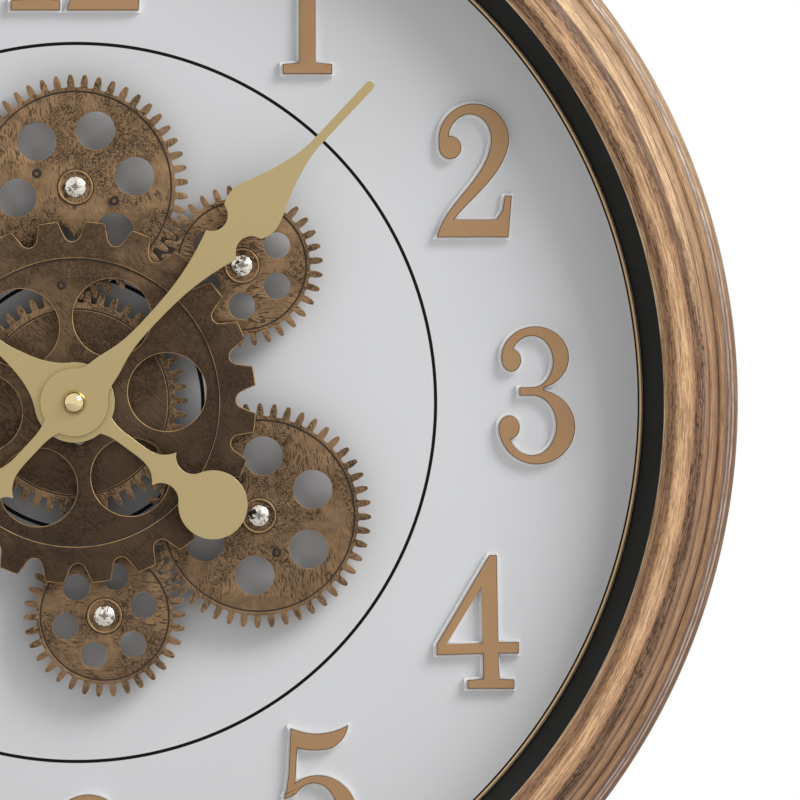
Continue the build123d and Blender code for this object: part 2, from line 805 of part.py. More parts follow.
with BuildPart() as motor_pinion:
    pinion_phase = mesh_phase(drive_teeth, drive_phase, pinion_teeth, 0)
    toothed(pinion_teeth, drive_module, pinion_phase, drive_back, drive_front, pinion_place)
    disc(motor_shaft_r, case_inside - motor_shaft_seat + end_gap, drive_back, pinion_place)
save(motor_pinion, "motor_pinion")


def cell(plane, place):
    """A dry cell standing along a plane's normal and halved by the plane, with its nub at the far end."""
    with BuildSketch(plane.offset(-cell_length / 2)) as can:
        with Locations(place):
            Circle(cell_r)
    extrude(can.sketch, amount=cell_length - cell_nub_h)
    with BuildSketch(plane.offset(cell_length / 2 - cell_nub_h)) as nub:
        with Locations(place):
            Circle(cell_nub_r)
    extrude(nub.sketch, amount=cell_nub_h)


with BuildPart() as motor_cells:
    cell(Plane.XY, (outer_cell_x, -cell_depth))
    cell(Plane.XY, (outer_cell_x - cell_pitch, -cell_depth))
save(motor_cells, "motor_cells")

with BuildPart() as motor_switch:
    plate_far = motor_case_far - case_wall - face_gap
    lug_w = motor_case_far + switch_out - plate_far
    lug_place = (plate_far + lug_w / 2, switch_rest)
    half_depth = switch_depth / 2
    block(lug_w, switch_h, cell_depth - half_depth, cell_depth + half_depth, lug_place)
    plate_place = (plate_far - switch_plate_w / 2, switch_rest)
    block(switch_plate_w, switch_plate_h, cell_depth - switch_depth, cell_depth + switch_depth, plate_place)
save(motor_switch, "motor_switch")

with BuildPart() as motor_screws:
    ear_back = dial_back - ear_thickness
    for place in ear_screw_places:
        disc(case_screw_head_r, ear_back - case_screw_head_h, ear_back, place)
        disc(case_screw_r, ear_back, dial_back + dial_screw_bite, place)
save(motor_screws, "motor_screws")

# Quartz movement: case with a long threaded bush, cover, cell, coil, board and the motion work
movement_inset = case_wall + case_boss_r - face_gap
movement_boss_z = movement_size / 2 - movement_inset
movement_boss_places = [(x * movement_boss_z, movement_boss_z) for x in (-1, 1)]
minute_wheel_place = (0.0, motion_distance)
with BuildPart() as movement_case:
    block(movement_size, movement_size, movement_cover_front, dial_back)
    inner_size = movement_size - 2 * case_wall
    block(inner_size, inner_size, movement_cover_front, case_inside, mode=Mode.SUBTRACT)
    disc(bush_r, dial_back, movement_nut_front)
    disc(hour_tube_r + run_gap, case_inside, movement_nut_front, mode=Mode.SUBTRACT)
    disc(pivot_r + run_gap, case_inside, dial_back - case_wall / 4, minute_wheel_place, Mode.SUBTRACT)
    for place in movement_boss_places:
        hole_end = movement_cover_front + case_screw_length
        disc(case_boss_r, movement_cover_front, case_inside, place)
        disc(case_screw_r + seat_gap, movement_cover_front, hole_end, place, Mode.SUBTRACT)
save(movement_case, "movement_case")

with BuildPart() as movement_cover:
    movement_back = movement_cover_front - cover_thickness
    block(movement_size, movement_size, movement_back, movement_cover_front)
    for place in [(0.0, 0.0), minute_wheel_place]:
        disc(pivot_r + run_gap, movement_back, movement_cover_front, place, Mode.SUBTRACT)
    for place in movement_boss_places:
        disc(case_screw_r + seat_gap, movement_back, movement_cover_front, place, Mode.SUBTRACT)
save(movement_cover, "movement_cover")

with BuildPart() as cover_screws:
    screw_seats = [(cover_back, place) for place in motor_boss_places]
    screw_seats += [(movement_back, place) for place in movement_boss_places]
    for seat, place in screw_seats:
        disc(case_screw_head_r, seat - case_screw_head_h, seat, place)
        disc(case_screw_r, seat, seat + case_screw_length, place)
save(cover_screws, "cover_screws")

with BuildPart() as movement_cell:
    cell(Plane.YZ, (-cell_depth, movement_cell_z))
save(movement_cell, "movement_cell")

with BuildPart() as movement_coil:
    block(coil_w, coil_length, case_inside - coil_depth, case_inside, (coil_x, coil_z))
    fillet(movement_coil.edges().filter_by(Axis.Z), coil_w / 4)
save(movement_coil, "movement_coil")

with BuildPart() as movement_board:
    block(board_w, board_h, case_inside - board_thickness, case_inside, (board_x, board_z))
save(movement_board, "movement_board")

# Motion work: cannon pinion to minute wheel, minute pinion to hour wheel, a turn to a twelfth
hour_wheel_front = case_inside - end_gap
hour_wheel_back = hour_wheel_front - motion_wheel_h
minute_wheel_front = hour_wheel_back - 2 * end_gap
minute_wheel_back = minute_wheel_front - motion_wheel_h
cannon_phase = 0.0
minute_wheel_phase = mesh_phase(cannon_teeth, cannon_phase, minute_wheel_teeth, 90)
minute_pinion_phase = 0.0
hour_wheel_phase = mesh_phase(minute_pinion_teeth, minute_pinion_phase, hour_wheel_teeth, -90)

nut_front = minute_hand_front + nut_h
thread_end = nut_front - nut_skirt
with BuildPart() as minute_arbor:
    toothed(cannon_teeth, motion_module, cannon_phase, minute_wheel_back, minute_wheel_front)
    disc(pivot_r, movement_back + face_gap, minute_wheel_back)
    disc(arbor_r, minute_wheel_front, minute_hand_front)
    disc(arbor_thread_r, minute_hand_front, thread_end)
save(minute_arbor, "minute_arbor")

knob_front = movement_back - 2 * end_gap
knob_back = knob_front - knob_h
with BuildPart() as minute_wheel:
    minute_pinion_front = hour_wheel_front
    toothed(minute_wheel_teeth, motion_module, minute_wheel_phase, minute_wheel_back, minute_wheel_front,
            minute_wheel_place)
    toothed(minute_pinion_teeth, hour_module, minute_pinion_phase, minute_wheel_front, minute_pinion_front,
            minute_wheel_place)
    disc(pivot_r, knob_back + face_gap, minute_wheel_back, minute_wheel_place)
    disc(pivot_r, minute_pinion_front, dial_back - case_wall / 2, minute_wheel_place)
save(minute_wheel, "minute_wheel")

with BuildPart() as setting_knob:
    disc(knob_r, knob_back, knob_front, minute_wheel_place)
    for k in range(knob_flutes):
        flute = polar(knob_r + knob_r / 20, 360 / knob_flutes * k, minute_wheel_place)
        disc(knob_r / 10, knob_back, knob_front, flute, Mode.SUBTRACT)
    disc(pivot_r + seat_gap, knob_back + face_gap, knob_front, minute_wheel_place, Mode.SUBTRACT)
save(setting_knob, "setting_knob")

with BuildPart() as hour_wheel:
    toothed(hour_wheel_teeth, hour_module, hour_wheel_phase, hour_wheel_back, hour_wheel_front)
    disc(hour_tube_r, hour_wheel_front, hour_hand_front)
    disc(arbor_r + run_gap, hour_wheel_back, hour_hand_front, mode=Mode.SUBTRACT)
save(hour_wheel, "hour_wheel")


def hand_plane(depth, clockwise):
    """A plane facing the viewer whose local Y runs along a hand, clockwise degrees from twelve."""
    turn = radians(clockwise)
    return Plane(origin=(0, -depth, 0), x_dir=(cos(turn), 0, -sin(turn)), z_dir=(0, -1, 0))


def mirrored(curve, *points):
    """Draws a curve and its mirror image across the hand's own line."""
    curve(*points)
    curve(*[(-x, y) for x, y in points])


def hand_outline(plane, hub_r, hole_r, waist_w, waist_s, collar_w, collar_s, neck_w, neck_s,
                 spade_w, spade_s, bar_w, bar_s, length):
    """A spade hand with a pointed collar, and a tail with the same collar and a round counterweight."""
    root = hub_r * sqrt(0.5)
    flare = collar_s - waist_s
    tail_reach = tail_collar_s - hub_r
    shoulder_s = (neck_s + spade_s) / 2
    point_s = spade_s + (bar_s - spade_s) * 0.28
    flare_s = spade_s + (bar_s - spade_s) * 0.57
    tail_join_s = tail_disc_s - sqrt(tail_disc_r**2 - (tail_neck_w * 1.8) ** 2)
    with BuildSketch(plane) as face:
        with BuildLine() as blade:
            Line((-root, root), (root, root))
            mirrored(
                Spline,
                (root, root),
                (hub_r * arm_fillet_share, hub_r),
                (arm_root_w, hub_r + arm_root_s),
                (arm_mid_w, hub_r + arm_mid_s),
                (waist_w, waist_s),
                (waist_w * 1.47, waist_s + flare * 0.45),
                (waist_w * 2.25, waist_s + flare * 0.69),
                (collar_w, collar_s),
            )
            mirrored(ThreePointArc, (collar_w, collar_s), (neck_w, neck_s), (spade_w * 0.85, shoulder_s))
            mirrored(
                Spline,
                (spade_w * 0.85, shoulder_s),
                (spade_w, spade_s),
                (spade_w * 0.69, point_s),
                (spade_w * 0.36, flare_s),
                (bar_w, bar_s),
            )
            mirrored(Line, (bar_w, bar_s), (bar_w, length - bar_w))
            ThreePointArc((bar_w, length - bar_w), (0, length), (-bar_w, length - bar_w))
        make_face(blade.edges())
        with BuildLine() as tail:
            Line((-tail_root_w, -hub_r * 0.95), (tail_root_w, -hub_r * 0.95))
            mirrored(
                Spline,
                (tail_root_w, -hub_r * 0.95),
                (tail_w * 1.15, -hub_r - tail_reach * 0.12),
                (tail_w, -hub_r - tail_reach * 0.35),
                (tail_w, -hub_r - tail_reach * 0.58),
                (tail_w * 1.35, -hub_r - tail_reach * 0.79),
                (tail_w * 2.1, -hub_r - tail_reach * 0.90),
                (tail_collar_w, -tail_collar_s),
            )
            mirrored(
                ThreePointArc,
                (tail_collar_w, -tail_collar_s),
                (tail_neck_w, -tail_neck_s),
                (tail_neck_w * 1.8, -tail_join_s),
            )
            Line((-tail_neck_w * 1.8, -tail_join_s), (tail_neck_w * 1.8, -tail_join_s))
        make_face(tail.edges())
        with Locations((0, -tail_disc_s)):
            Circle(tail_disc_r)
        Circle(hub_r)
        Circle(hole_r, mode=Mode.SUBTRACT)
    return face.sketch


# Hands and the domed nut
with BuildPart() as hour_hand:
    hour_face = hand_outline(hand_plane(hour_hand_back, hour_angle), hour_hub_r, hour_tube_r + seat_gap,
                             hour_waist_w, hour_waist_s, hour_collar_w, hour_collar_s, hour_neck_w,
                             hour_neck_s, hour_spade_w, hour_spade_s, hour_bar_w, hour_bar_s, hour_length)
    extrude(hour_face, amount=hand_thickness)
save(hour_hand, "hour_hand")

with BuildPart() as minute_hand:
    minute_face = hand_outline(hand_plane(minute_hand_back, minute_angle), minute_hub_r, arbor_r + seat_gap,
                               minute_waist_w, minute_waist_s, minute_collar_w, minute_collar_s, minute_neck_w,
                               minute_neck_s, minute_spade_w, minute_spade_s, minute_bar_w, minute_bar_s,
                               minute_length)
    extrude(minute_face, amount=hand_thickness)
save(minute_hand, "minute_hand")

with BuildPart() as hand_nut:
    dome_back = minute_hand_front + nut_skirt
    dome_r, dome_h = dome_middle(nut_r, nut_front - dome_back)
    with BuildSketch(Plane.XY):
        with BuildLine():
            Polyline(
                (0, -nut_front),
                (0, -minute_hand_front),
                (nut_r, -minute_hand_front),
                (nut_r, -dome_back),
            )
            ThreePointArc(
                (nut_r, -dome_back),
                (dome_r, -dome_back - dome_h),
                (0, -nut_front),
            )
        make_face()
    revolve(axis=Axis.Y)
    disc(arbor_thread_r + seat_gap, minute_hand_front, thread_end + face_gap, mode=Mode.SUBTRACT)
save(hand_nut, "hand_nut")

# Numerals: bold serif figures drawn on a grid of a hundred units to their height, each with a border when grown
unit = numeral_h / 100


def grown(points, grow):
    """Moves the sides of a closed loop of points, listed anticlockwise, outwards by a distance."""
    moved = []
    for k, (x, y) in enumerate(points):
        before = (x - points[k - 1][0], y - points[k - 1][1])
        after = (points[(k + 1) % len(points)][0] - x, points[(k + 1) % len(points)][1] - y)
        normals = [(dy / hypot(dx, dy), -dx / hypot(dx, dy)) for dx, dy in (before, after)]
        spread = 1 + normals[0][0] * normals[1][0] + normals[0][1] * normals[1][1]
        reach = grow / max(spread, 0.5)
        moved.append((x + (normals[0][0] + normals[1][0]) * reach, y + (normals[0][1] + normals[1][1]) * reach))
    return moved


def oval(x, y, half_w, half_h, grow, mode=Mode.ADD):
    """An ellipse of the figure, or with Mode.SUBTRACT an opening in it, which the border narrows."""
    border = grow if mode == Mode.ADD else -grow
    with Locations((x * unit, y * unit)):
        Ellipse(half_w * unit + border, half_h * unit + border, mode=mode)


def loop(sides, grow, mode=Mode.ADD):
    """A closed outline, listed anticlockwise: sides of two points are straight, longer ones smooth curves."""
    corners = [(x * unit, y * unit) for side in sides for x, y in side[:-1]]
    corners = grown(corners, grow if mode == Mode.ADD else -grow)
    first = 0
    with BuildLine() as edge:
        for side in sides:
            points = [corners[(first + k) % len(corners)] for k in range(len(side))]
            if len(points) == 2:
                Line(*points)
            else:
                Spline(*points)
            first += len(side) - 1
    make_face(edge.edges(), mode=mode)


def polygon(points, grow, mode=Mode.ADD):
    loop([(points[k], points[(k + 1) % len(points)]) for k in range(len(points))], grow, mode)


def slab(left, bottom, right, top, grow, mode=Mode.ADD):
    polygon([(left, bottom), (right, bottom), (right, top), (left, top)], grow, mode)


def figure_0(grow):
    oval(27, 50, 27, 50, grow)
    oval(27, 50, 13.5, 43.5, grow, Mode.SUBTRACT)


def figure_1(grow):
    polygon([(0, 0), (37, 0), (37, 7.5), (24.6, 8.6), (24.6, 100), (18, 100), (3, 90), (3, 85.5), (12.4, 89.5),
             (12.4, 8.6), (0, 7.5)], grow)


def figure_2(grow):
    oval(27.6, 73, 26.4, 27, grow)
    oval(24.5, 73, 16, 19, grow, Mode.SUBTRACT)
    slab(-4, 40, 27, 68, grow, Mode.SUBTRACT)
    slab(18, 40, 60, 72.6, grow, Mode.SUBTRACT)
    loop([
        [(0, 0), (12.4, 13)],
        [(12.4, 13), (37.3, 39.7), (50.7, 59.8), (54, 73)],
        [(54, 73), (40.4, 73)],
        [(40.4, 73), (38.3, 61.7), (22, 35.9), (0, 0)],
    ], grow)
    oval(9.9, 67.2, 8.4, 8.7, grow)
    polygon([(0, 0), (53.6, 0), (56, 31.1), (50.7, 31.1), (49, 20), (44.5, 13.4), (9, 13.4)], grow)


def figure_3(grow):
    oval(27.5, 80, 25.2, 23.3, grow)
    oval(24.9, 77, 15.8, 19.2, grow, Mode.SUBTRACT)
    oval(28.8, 28, 28.6, 28, grow)
    oval(25, 29.2, 18.3, 22.3, grow, Mode.SUBTRACT)
    slab(-4, 28, 15.7, 76, grow, Mode.SUBTRACT)
    slab(10, 40, 25, 70, grow, Mode.SUBTRACT)
    slab(15.7, 51.4, 34, 57.7, grow)
    oval(9.7, 78, 7.3, 8.6, grow)
    oval(8.1, 27.7, 7.8, 9, grow)


def figure_4(grow):
    polygon([(39.5, 100), (0, 33), (0, 25), (34.9, 26), (34.9, 7.5), (23, 6.4), (23, 0), (58.2, 0), (58.2, 6.9),
             (47.1, 7.3), (46.2, 26.4), (61.5, 26.4), (61.5, 34.9), (46.2, 34.9), (45, 100)], grow)
    polygon([(33.3, 75.9), (7.4, 33.3), (34.5, 34.1)], grow, Mode.SUBTRACT)


def figure_5(grow):
    oval(27.5, 31.6, 29.5, 30.7, grow)
    oval(24.5, 31.5, 17.9, 24.8, grow, Mode.SUBTRACT)
    slab(-4, 24, 14, 48, grow, Mode.SUBTRACT)
    oval(8.3, 21.5, 8.4, 8.8, grow)
    polygon([(7, 97.6), (6.2, 78.6), (5.6, 64.9), (4, 51.7), (2, 44.3), (9.3, 47), (10.6, 58.9), (11.3, 70),
             (12, 82.6), (13, 92)], grow)
    loop([
        [(7, 97.6), (12, 82.6)],
        [(12, 82.6), (24.6, 80.9), (37.1, 82.3)],
        [(37.1, 82.3), (46, 89.4), (50.1, 100)],
        [(50.1, 100), (27, 93.4), (7, 97.6)],
    ], grow)


def figure_6(grow, turned_over=False):
    """The six, or the nine as the six turned half round."""

    def at(x, y):
        return (56 - x, 100 - y) if turned_over else (x, y)

    def cut(left, bottom, right, top):
        corners = (at(left, bottom), at(right, top))
        xs = sorted(corner[0] for corner in corners)
        ys = sorted(corner[1] for corner in corners)
        slab(xs[0], ys[0], xs[1], ys[1], grow, Mode.SUBTRACT)

    oval(*at(37, 50), 37, 50, grow)
    oval(*at(43.5, 50), 30, 43.5, grow, Mode.SUBTRACT)
    cut(36, -4, 84, 84)
    cut(52, 80, 84, 106)
    oval(*at(45.5, 86.5), 8.2, 8.7, grow)
    with BuildSketch(mode=Mode.PRIVATE) as ring:
        oval(*at(28.5, 31), 27.5, 31, grow)
        oval(*at(29, 31), 14.2, 25, grow, Mode.SUBTRACT)
    add(ring.sketch)


def figure_7(grow):
    slab(2, 86, 56, 100, grow)
    polygon([(2, 100), (2, 72), (5.5, 72), (8, 80), (8, 100)], grow)
    loop([
        [(16, 0), (32, 0)],
        [(32, 0), (36, 40), (46, 70), (56, 98)],
        [(56, 98), (43, 88)],
        [(43, 88), (30, 66), (20, 38), (16, 0)],
    ], grow)


def figure_8(grow):
    oval(27, 76, 22.5, 24, grow)
    oval(27, 27, 27, 27, grow)
    oval(27, 77, 11.5, 17.5, grow, Mode.SUBTRACT)
    oval(27, 27, 14.5, 21.5, grow, Mode.SUBTRACT)


def figure_9(grow):
    figure_6(grow, turned_over=True)


figures = [figure_0, figure_1, figure_2, figure_3, figure_4, figure_5, figure_6, figure_7, figure_8, figure_9]
figure_widths = [54, 37, 56, 55, 61.5, 56, 56, 56, 54, 56]

# Hours glued a little off the even ring, as seen in the photo: right and up, in mm
figure_shifts = {1: (0.8, -1.0), 2: (0.3, 1.1), 3: (0, 2.2), 4: (1.8, 4.5), 5: (5.8, 3.7)}


def figure_places(hour):
    """The figures of an hour, each with the X and Z of its lower left corner."""
    digits = [int(mark) for mark in str(hour)]
    widths = [figure_widths[digit] * unit for digit in digits]
    x, z = polar(numeral_orbit, 90 - 30 * hour)
    shift_x, shift_z = figure_shifts.get(hour, (0, 0))
    x, z = x + shift_x, z + shift_z
    left = x - (sum(widths) + digit_gap * (len(digits) - 1)) / 2
    places = []
    for digit, width in zip(digits, widths):
        places.append((digit, left, z - numeral_h / 2))
        left += width + digit_gap
    return places


def draw_figure(digit, x, z, depth, grow, thickness):
    """A figure standing on a plane at a depth, with its lower left corner at x, z."""
    with BuildSketch(Plane(origin=(x, -depth, z), x_dir=(1, 0, 0), z_dir=(0, -1, 0))) as face:
        figures[digit](grow)
    extrude(face.sketch, amount=thickness)


base_front = dial_front + numeral_base_h
with BuildPart() as numeral_bases:
    for hour in range(1, 13):
        for digit, x, z in figure_places(hour):
            draw_figure(digit, x - numeral_base_shift, z, dial_front, numeral_border, numeral_base_h)
save(numeral_bases, "numeral_bases")

for hour in range(1, 13):
    with BuildPart() as numeral:
        for digit, x, z in figure_places(hour):
            draw_figure(digit, x, z, base_front, 0.0, numeral_face_h)
    save(numeral, f"numeral_{hour:02d}")
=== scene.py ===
"""Finishes for a round wall clock with turning show gears, laid out as an add-on and run as a script."""

from math import acos, cos, degrees, pi, radians, sin, tan

import bmesh
import bpy
import numpy as np
from bpy.props import FloatProperty, FloatVectorProperty, IntProperty, PointerProperty
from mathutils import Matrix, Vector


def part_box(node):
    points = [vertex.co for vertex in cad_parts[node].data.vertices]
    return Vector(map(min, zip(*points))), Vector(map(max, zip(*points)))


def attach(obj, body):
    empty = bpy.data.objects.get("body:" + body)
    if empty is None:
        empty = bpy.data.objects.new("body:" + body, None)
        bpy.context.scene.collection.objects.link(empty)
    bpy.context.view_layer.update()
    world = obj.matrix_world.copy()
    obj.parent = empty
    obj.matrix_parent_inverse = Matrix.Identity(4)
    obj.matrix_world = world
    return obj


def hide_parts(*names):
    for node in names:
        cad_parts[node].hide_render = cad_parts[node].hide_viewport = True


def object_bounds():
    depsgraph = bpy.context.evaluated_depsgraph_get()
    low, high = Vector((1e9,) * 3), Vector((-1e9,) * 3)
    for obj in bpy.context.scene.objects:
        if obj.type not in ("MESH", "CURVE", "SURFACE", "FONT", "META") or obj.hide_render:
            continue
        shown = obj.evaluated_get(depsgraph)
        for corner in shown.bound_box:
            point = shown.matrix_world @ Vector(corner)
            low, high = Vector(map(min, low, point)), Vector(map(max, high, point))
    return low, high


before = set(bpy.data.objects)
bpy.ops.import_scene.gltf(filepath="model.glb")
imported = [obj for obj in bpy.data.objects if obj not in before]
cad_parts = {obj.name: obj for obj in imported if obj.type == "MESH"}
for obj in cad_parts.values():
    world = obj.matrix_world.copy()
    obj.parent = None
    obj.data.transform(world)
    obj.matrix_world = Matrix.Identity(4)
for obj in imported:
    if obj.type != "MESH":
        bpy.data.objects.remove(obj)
CAD_BOX = [list(corner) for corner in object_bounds()]

bl_info = {
    "name": "Gear wall clock finishes",
    "version": (1, 0, 0),
    "blender": (4, 5, 0),
    "location": "3D View > Sidebar > Clock",
    "description": "Builds the visible surfaces, finishes and stage of a round wall clock with show gears",
    "category": "Object",
}

MM = 0.001

# In metres: how near points are merged in a CAD node and in a new piece, and the height of a fine bump
NODE_MERGE, PIECE_MERGE, BUMP_HEIGHT = 2e-6, 1e-7, 0.0001

# In degrees: how flat neighbouring faces lie that are joined
FLAT_ANGLE = 0.5

# Towards the painted shade of the bronze finishes: down and to the right, as a change per metre
PAINTED_SHADE_SIDE = (5.5, 0.0, -7.0)


def srgb(red, green, blue):
    """A screen colour of 0 to 255 a channel as the linear colour that the shaders take."""
    values = np.array([red, green, blue]) / 255
    linear = np.where(values <= 0.04045, values / 12.92, ((values + 0.055) / 1.055) ** 2.4)
    return tuple(float(value) for value in linear)


# Settings


class ClockSizes(bpy.types.PropertyGroup):
    """Sizes of the dressed surfaces, in metres; they repeat the solids' sizes."""

    ring_outer: FloatProperty(name="Ring radius", description="Outer radius of the wooden ring",
                              default=0.295, unit="LENGTH")
    ring_lip: FloatProperty(name="Lip radius", description="Inner radius of the wooden ring's front lip",
                            default=0.2616, unit="LENGTH")
    ring_depth: FloatProperty(name="Ring depth", description="Distance from the wall to the ring's crown",
                              default=0.070, unit="LENGTH")
    edge_break: FloatProperty(name="Edge break", description="Width of the softened edges of plates and figures",
                              default=0.00036, unit="LENGTH")
    ring_steps: IntProperty(name="Ring steps", description="Facets round the wooden ring", default=540, min=64)


class ClockColours(bpy.types.PropertyGroup):
    """Main colours of the finishes."""

    wood: FloatVectorProperty(name="Wood", description="Middle tone of the ring", subtype="COLOR", size=3,
                              default=srgb(162, 124, 92))
    wood_pale: FloatVectorProperty(name="Pale wood", description="Crown of the ring", subtype="COLOR", size=3,
                                   default=srgb(206, 161, 121))
    wood_brown: FloatVectorProperty(name="Brown wood", description="Darker zones of the ring", subtype="COLOR", size=3,
                                    default=srgb(134, 102, 78))
    wood_streak: FloatVectorProperty(name="Wood streak", description="Dark streaks and pores of the ring",
                                     subtype="COLOR", size=3, default=srgb(58, 40, 29))
    # Painted highlight lines on the ring's outer bead
    wood_highlight_line: FloatVectorProperty(name="Wood line", description="Thin pale lines at the ring's rim", subtype="COLOR",
                                   size=3, default=srgb(194, 180, 172))
    dial: FloatVectorProperty(name="Dial", description="Paint of the dial", subtype="COLOR", size=3,
                              default=srgb(222, 223, 225))
    # Printed circles of the dial, and the painted shadow at the gilt bead
    ink_and_shadow: FloatVectorProperty(name="Ink", description="Printed circles of the dial", subtype="COLOR", size=3,
                             default=srgb(3, 3, 4))
    bronze: FloatVectorProperty(name="Bronze", description="Middle tone of the gears", subtype="COLOR", size=3,
                                default=srgb(160, 127, 92))
    bronze_dark: FloatVectorProperty(name="Bronze pits", description="Dark tone in the gears' pits", subtype="COLOR",
                                     size=3, default=srgb(44, 32, 22))
    # Worn edges of the gears, which also serve as painted highlights along the rims
    bronze_worn_and_highlight: FloatVectorProperty(name="Worn bronze", description="Rubbed edges of the gears", subtype="COLOR",
                                     size=3, default=srgb(196, 158, 106))
    figure: FloatVectorProperty(name="Figures", description="Faces of the numerals", subtype="COLOR", size=3,
                                default=srgb(174, 136, 98))
    hand: FloatVectorProperty(name="Hands", description="Faces of the hands", subtype="COLOR", size=3,
                              default=srgb(180, 160, 114))


class StageSettings(bpy.types.PropertyGroup):
    """Camera and light."""

    view_x: FloatProperty(name="View X", description="Place of the picture's middle", default=0.1446, unit="LENGTH")
    view_z: FloatProperty(name="View Z", description="Height of the picture's middle", default=0.0011, unit="LENGTH")
    view_width: FloatProperty(name="View width", description="Width of the picture at the gears", default=0.3565,
                              unit="LENGTH")
    distance: FloatProperty(name="Distance", description="From the wall to the camera", default=4.0, unit="LENGTH")
    key: FloatProperty(name="Key", description="Power of the main lamp", default=40.0, unit="POWER")
    ambient: FloatProperty(name="Ambient", description="Strength of the light from all round", default=0.465)


# Surfaces


def lathe(profile, steps, centre=(0.0, 0.0), closed=True):
    """A turned surface: point (angle, k) is the profile's k-th radius and depth in mm, carried round the line through
    centre that is square to the wall. A closed profile gives a ring; an open one starts and ends on the line."""
    profile = np.asarray(profile, dtype=float)
    angles = np.linspace(0, 2 * pi, steps, endpoint=False)
    radius, depth = profile[:, 0], profile[:, 1]
    grid = np.stack([
        centre[0] + np.outer(np.cos(angles), radius),
        np.broadcast_to(-depth, (steps, len(profile))),
        centre[1] + np.outer(np.sin(angles), radius),
    ], axis=-1)
    index = np.arange(steps * len(profile)).reshape(steps, len(profile))
    after = np.roll(index, -1, axis=0)
    if closed:
        index = np.concatenate([index, index[:, :1]], axis=1)
        after = np.concatenate([after, after[:, :1]], axis=1)
    quads = np.stack([index[:, :-1], after[:, :-1], after[:, 1:], index[:, 1:]], axis=-1).reshape(-1, 4)
    points = grid.reshape(-1, 3) * MM
    return outward(points, quads.tolist())


def outward(points, faces):
    """Turns a closed shell's faces round if its signed volume, the sum of corner products, is negative."""
    fans = np.array([(face[0], face[k], face[k + 1]) for face in faces for k in range(1, len(face) - 1)])
    a, b, c = points[fans[:, 0]], points[fans[:, 1]], points[fans[:, 2]]
    if np.einsum("ij,ij->i", a, np.cross(b, c)).sum() < 0:
        faces = [face[::-1] for face in faces]
    return points, faces


def arc(start, middle, end, steps):
    """Points along the circle through three points: the centre solves the two equal-distance equations, and the
    angles run from start over middle to end."""
    (x1, y1), (x2, y2), (x3, y3) = start, middle, end
    sides = np.array([[x2 - x1, y2 - y1], [x3 - x1, y3 - y1]]) * 2
    squares = np.array([x2**2 + y2**2 - x1**2 - y1**2, x3**2 + y3**2 - x1**2 - y1**2])
    cx, cy = np.linalg.solve(sides, squares)
    turns = np.arctan2([y1 - cy, y2 - cy, y3 - cy], [x1 - cx, x2 - cx, x3 - cx])
    turns = np.unwrap(turns)
    along = np.linspace(turns[0], turns[2], steps)
    reach = np.hypot(x1 - cx, y1 - cy)
    return np.stack([cx + reach * np.cos(along), cy + reach * np.sin(along)], axis=-1)


def circle(radius, steps, centre=(0.0, 0.0)):
    """A closed ring of points at one radius."""
    angles = np.linspace(0, 2 * pi, steps, endpoint=False)
    return np.stack([centre[0] + radius * np.cos(angles), centre[1] + radius * np.sin(angles)], axis=-1)


def polar(radius, angle, centre=(0.0, 0.0)):
    """The point at a radius and an angle in degrees from centre."""
    return centre[0] + radius * cos(radians(angle)), centre[1] + radius * sin(radians(angle))


def plate(loops, back, front, edge):
    """A flat plate between two depths in mm, from closed loops of points: the first is its outline and the others are
    openings. A flat curve fills it and rounds its rims by edge."""
    curve = bpy.data.curves.new("plate", "CURVE")
    curve.dimensions = "2D"
    curve.fill_mode = "BOTH"
    curve.bevel_depth = edge
    curve.bevel_resolution = 1
    curve.offset = -edge
    curve.extrude = (front - back) / 2 - edge
    for loop in loops:
        spline = curve.splines.new("POLY")
        spline.points.add(len(loop) - 1)
        places = np.zeros((len(loop), 4))
        places[:, :2] = loop
        places[:, 3] = 1
        spline.points.foreach_set("co", places.ravel())
        spline.use_cyclic_u = True
    holder = bpy.data.objects.new("plate", curve)
    mesh = bpy.data.meshes.new_from_object(holder)
    flat = np.zeros(len(mesh.vertices) * 3)
    mesh.vertices.foreach_get("co", flat)
    flat = flat.reshape(-1, 3)
    points = np.stack([flat[:, 0], -flat[:, 2] - (front + back) / 2, flat[:, 1]], axis=-1) * MM
    faces = [list(polygon.vertices) for polygon in mesh.polygons]
    bpy.data.objects.remove(holder)
    bpy.data.curves.remove(curve)
    bpy.data.meshes.remove(mesh)
    return outward(points, faces)


def piece(name, shells, body, finish, nodes=(), sharp=32.0):
    """One object from several closed shells, on a body, in place of CAD nodes."""
    points, faces, first = [], [], 0
    for shell_points, shell_faces in shells:
        points.append(shell_points)
        faces += [[corner + first for corner in face] for face in shell_faces]
        first += len(shell_points)
    mesh = bpy.data.meshes.new(name)
    mesh.from_pydata(np.concatenate(points), [], faces)
    work = bmesh.new()
    work.from_mesh(mesh)
    bmesh.ops.remove_doubles(work, verts=work.verts, dist=PIECE_MERGE)
    work.to_mesh(mesh)
    work.free()
    return dress(bpy.data.objects.new(name, mesh), body, finish, nodes, sharp)


def dress(item, body, finish, nodes, sharp):
    """Links a piece, shades it smooth between its sharp edges, gives it its finish and sets it on its body."""
    bpy.context.scene.collection.objects.link(item)
    item.data.shade_smooth()
    item.data.set_sharp_from_angle(angle=radians(sharp))
    item.data.materials.clear()
    item.data.materials.append(finish_named(finish))
    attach(item, body)
    if nodes:
        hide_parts(*nodes)
    return item


def merged(node):
    """A copy of a CAD node's mesh, open for editing, with its loose triangles merged and its flat faces joined."""
    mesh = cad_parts[node].data.copy()
    work = bmesh.new()
    work.from_mesh(mesh)
    bmesh.ops.remove_doubles(work, verts=work.verts, dist=NODE_MERGE)
    bmesh.ops.dissolve_limit(work, angle_limit=radians(FLAT_ANGLE), verts=work.verts, edges=work.edges)
    return mesh, work


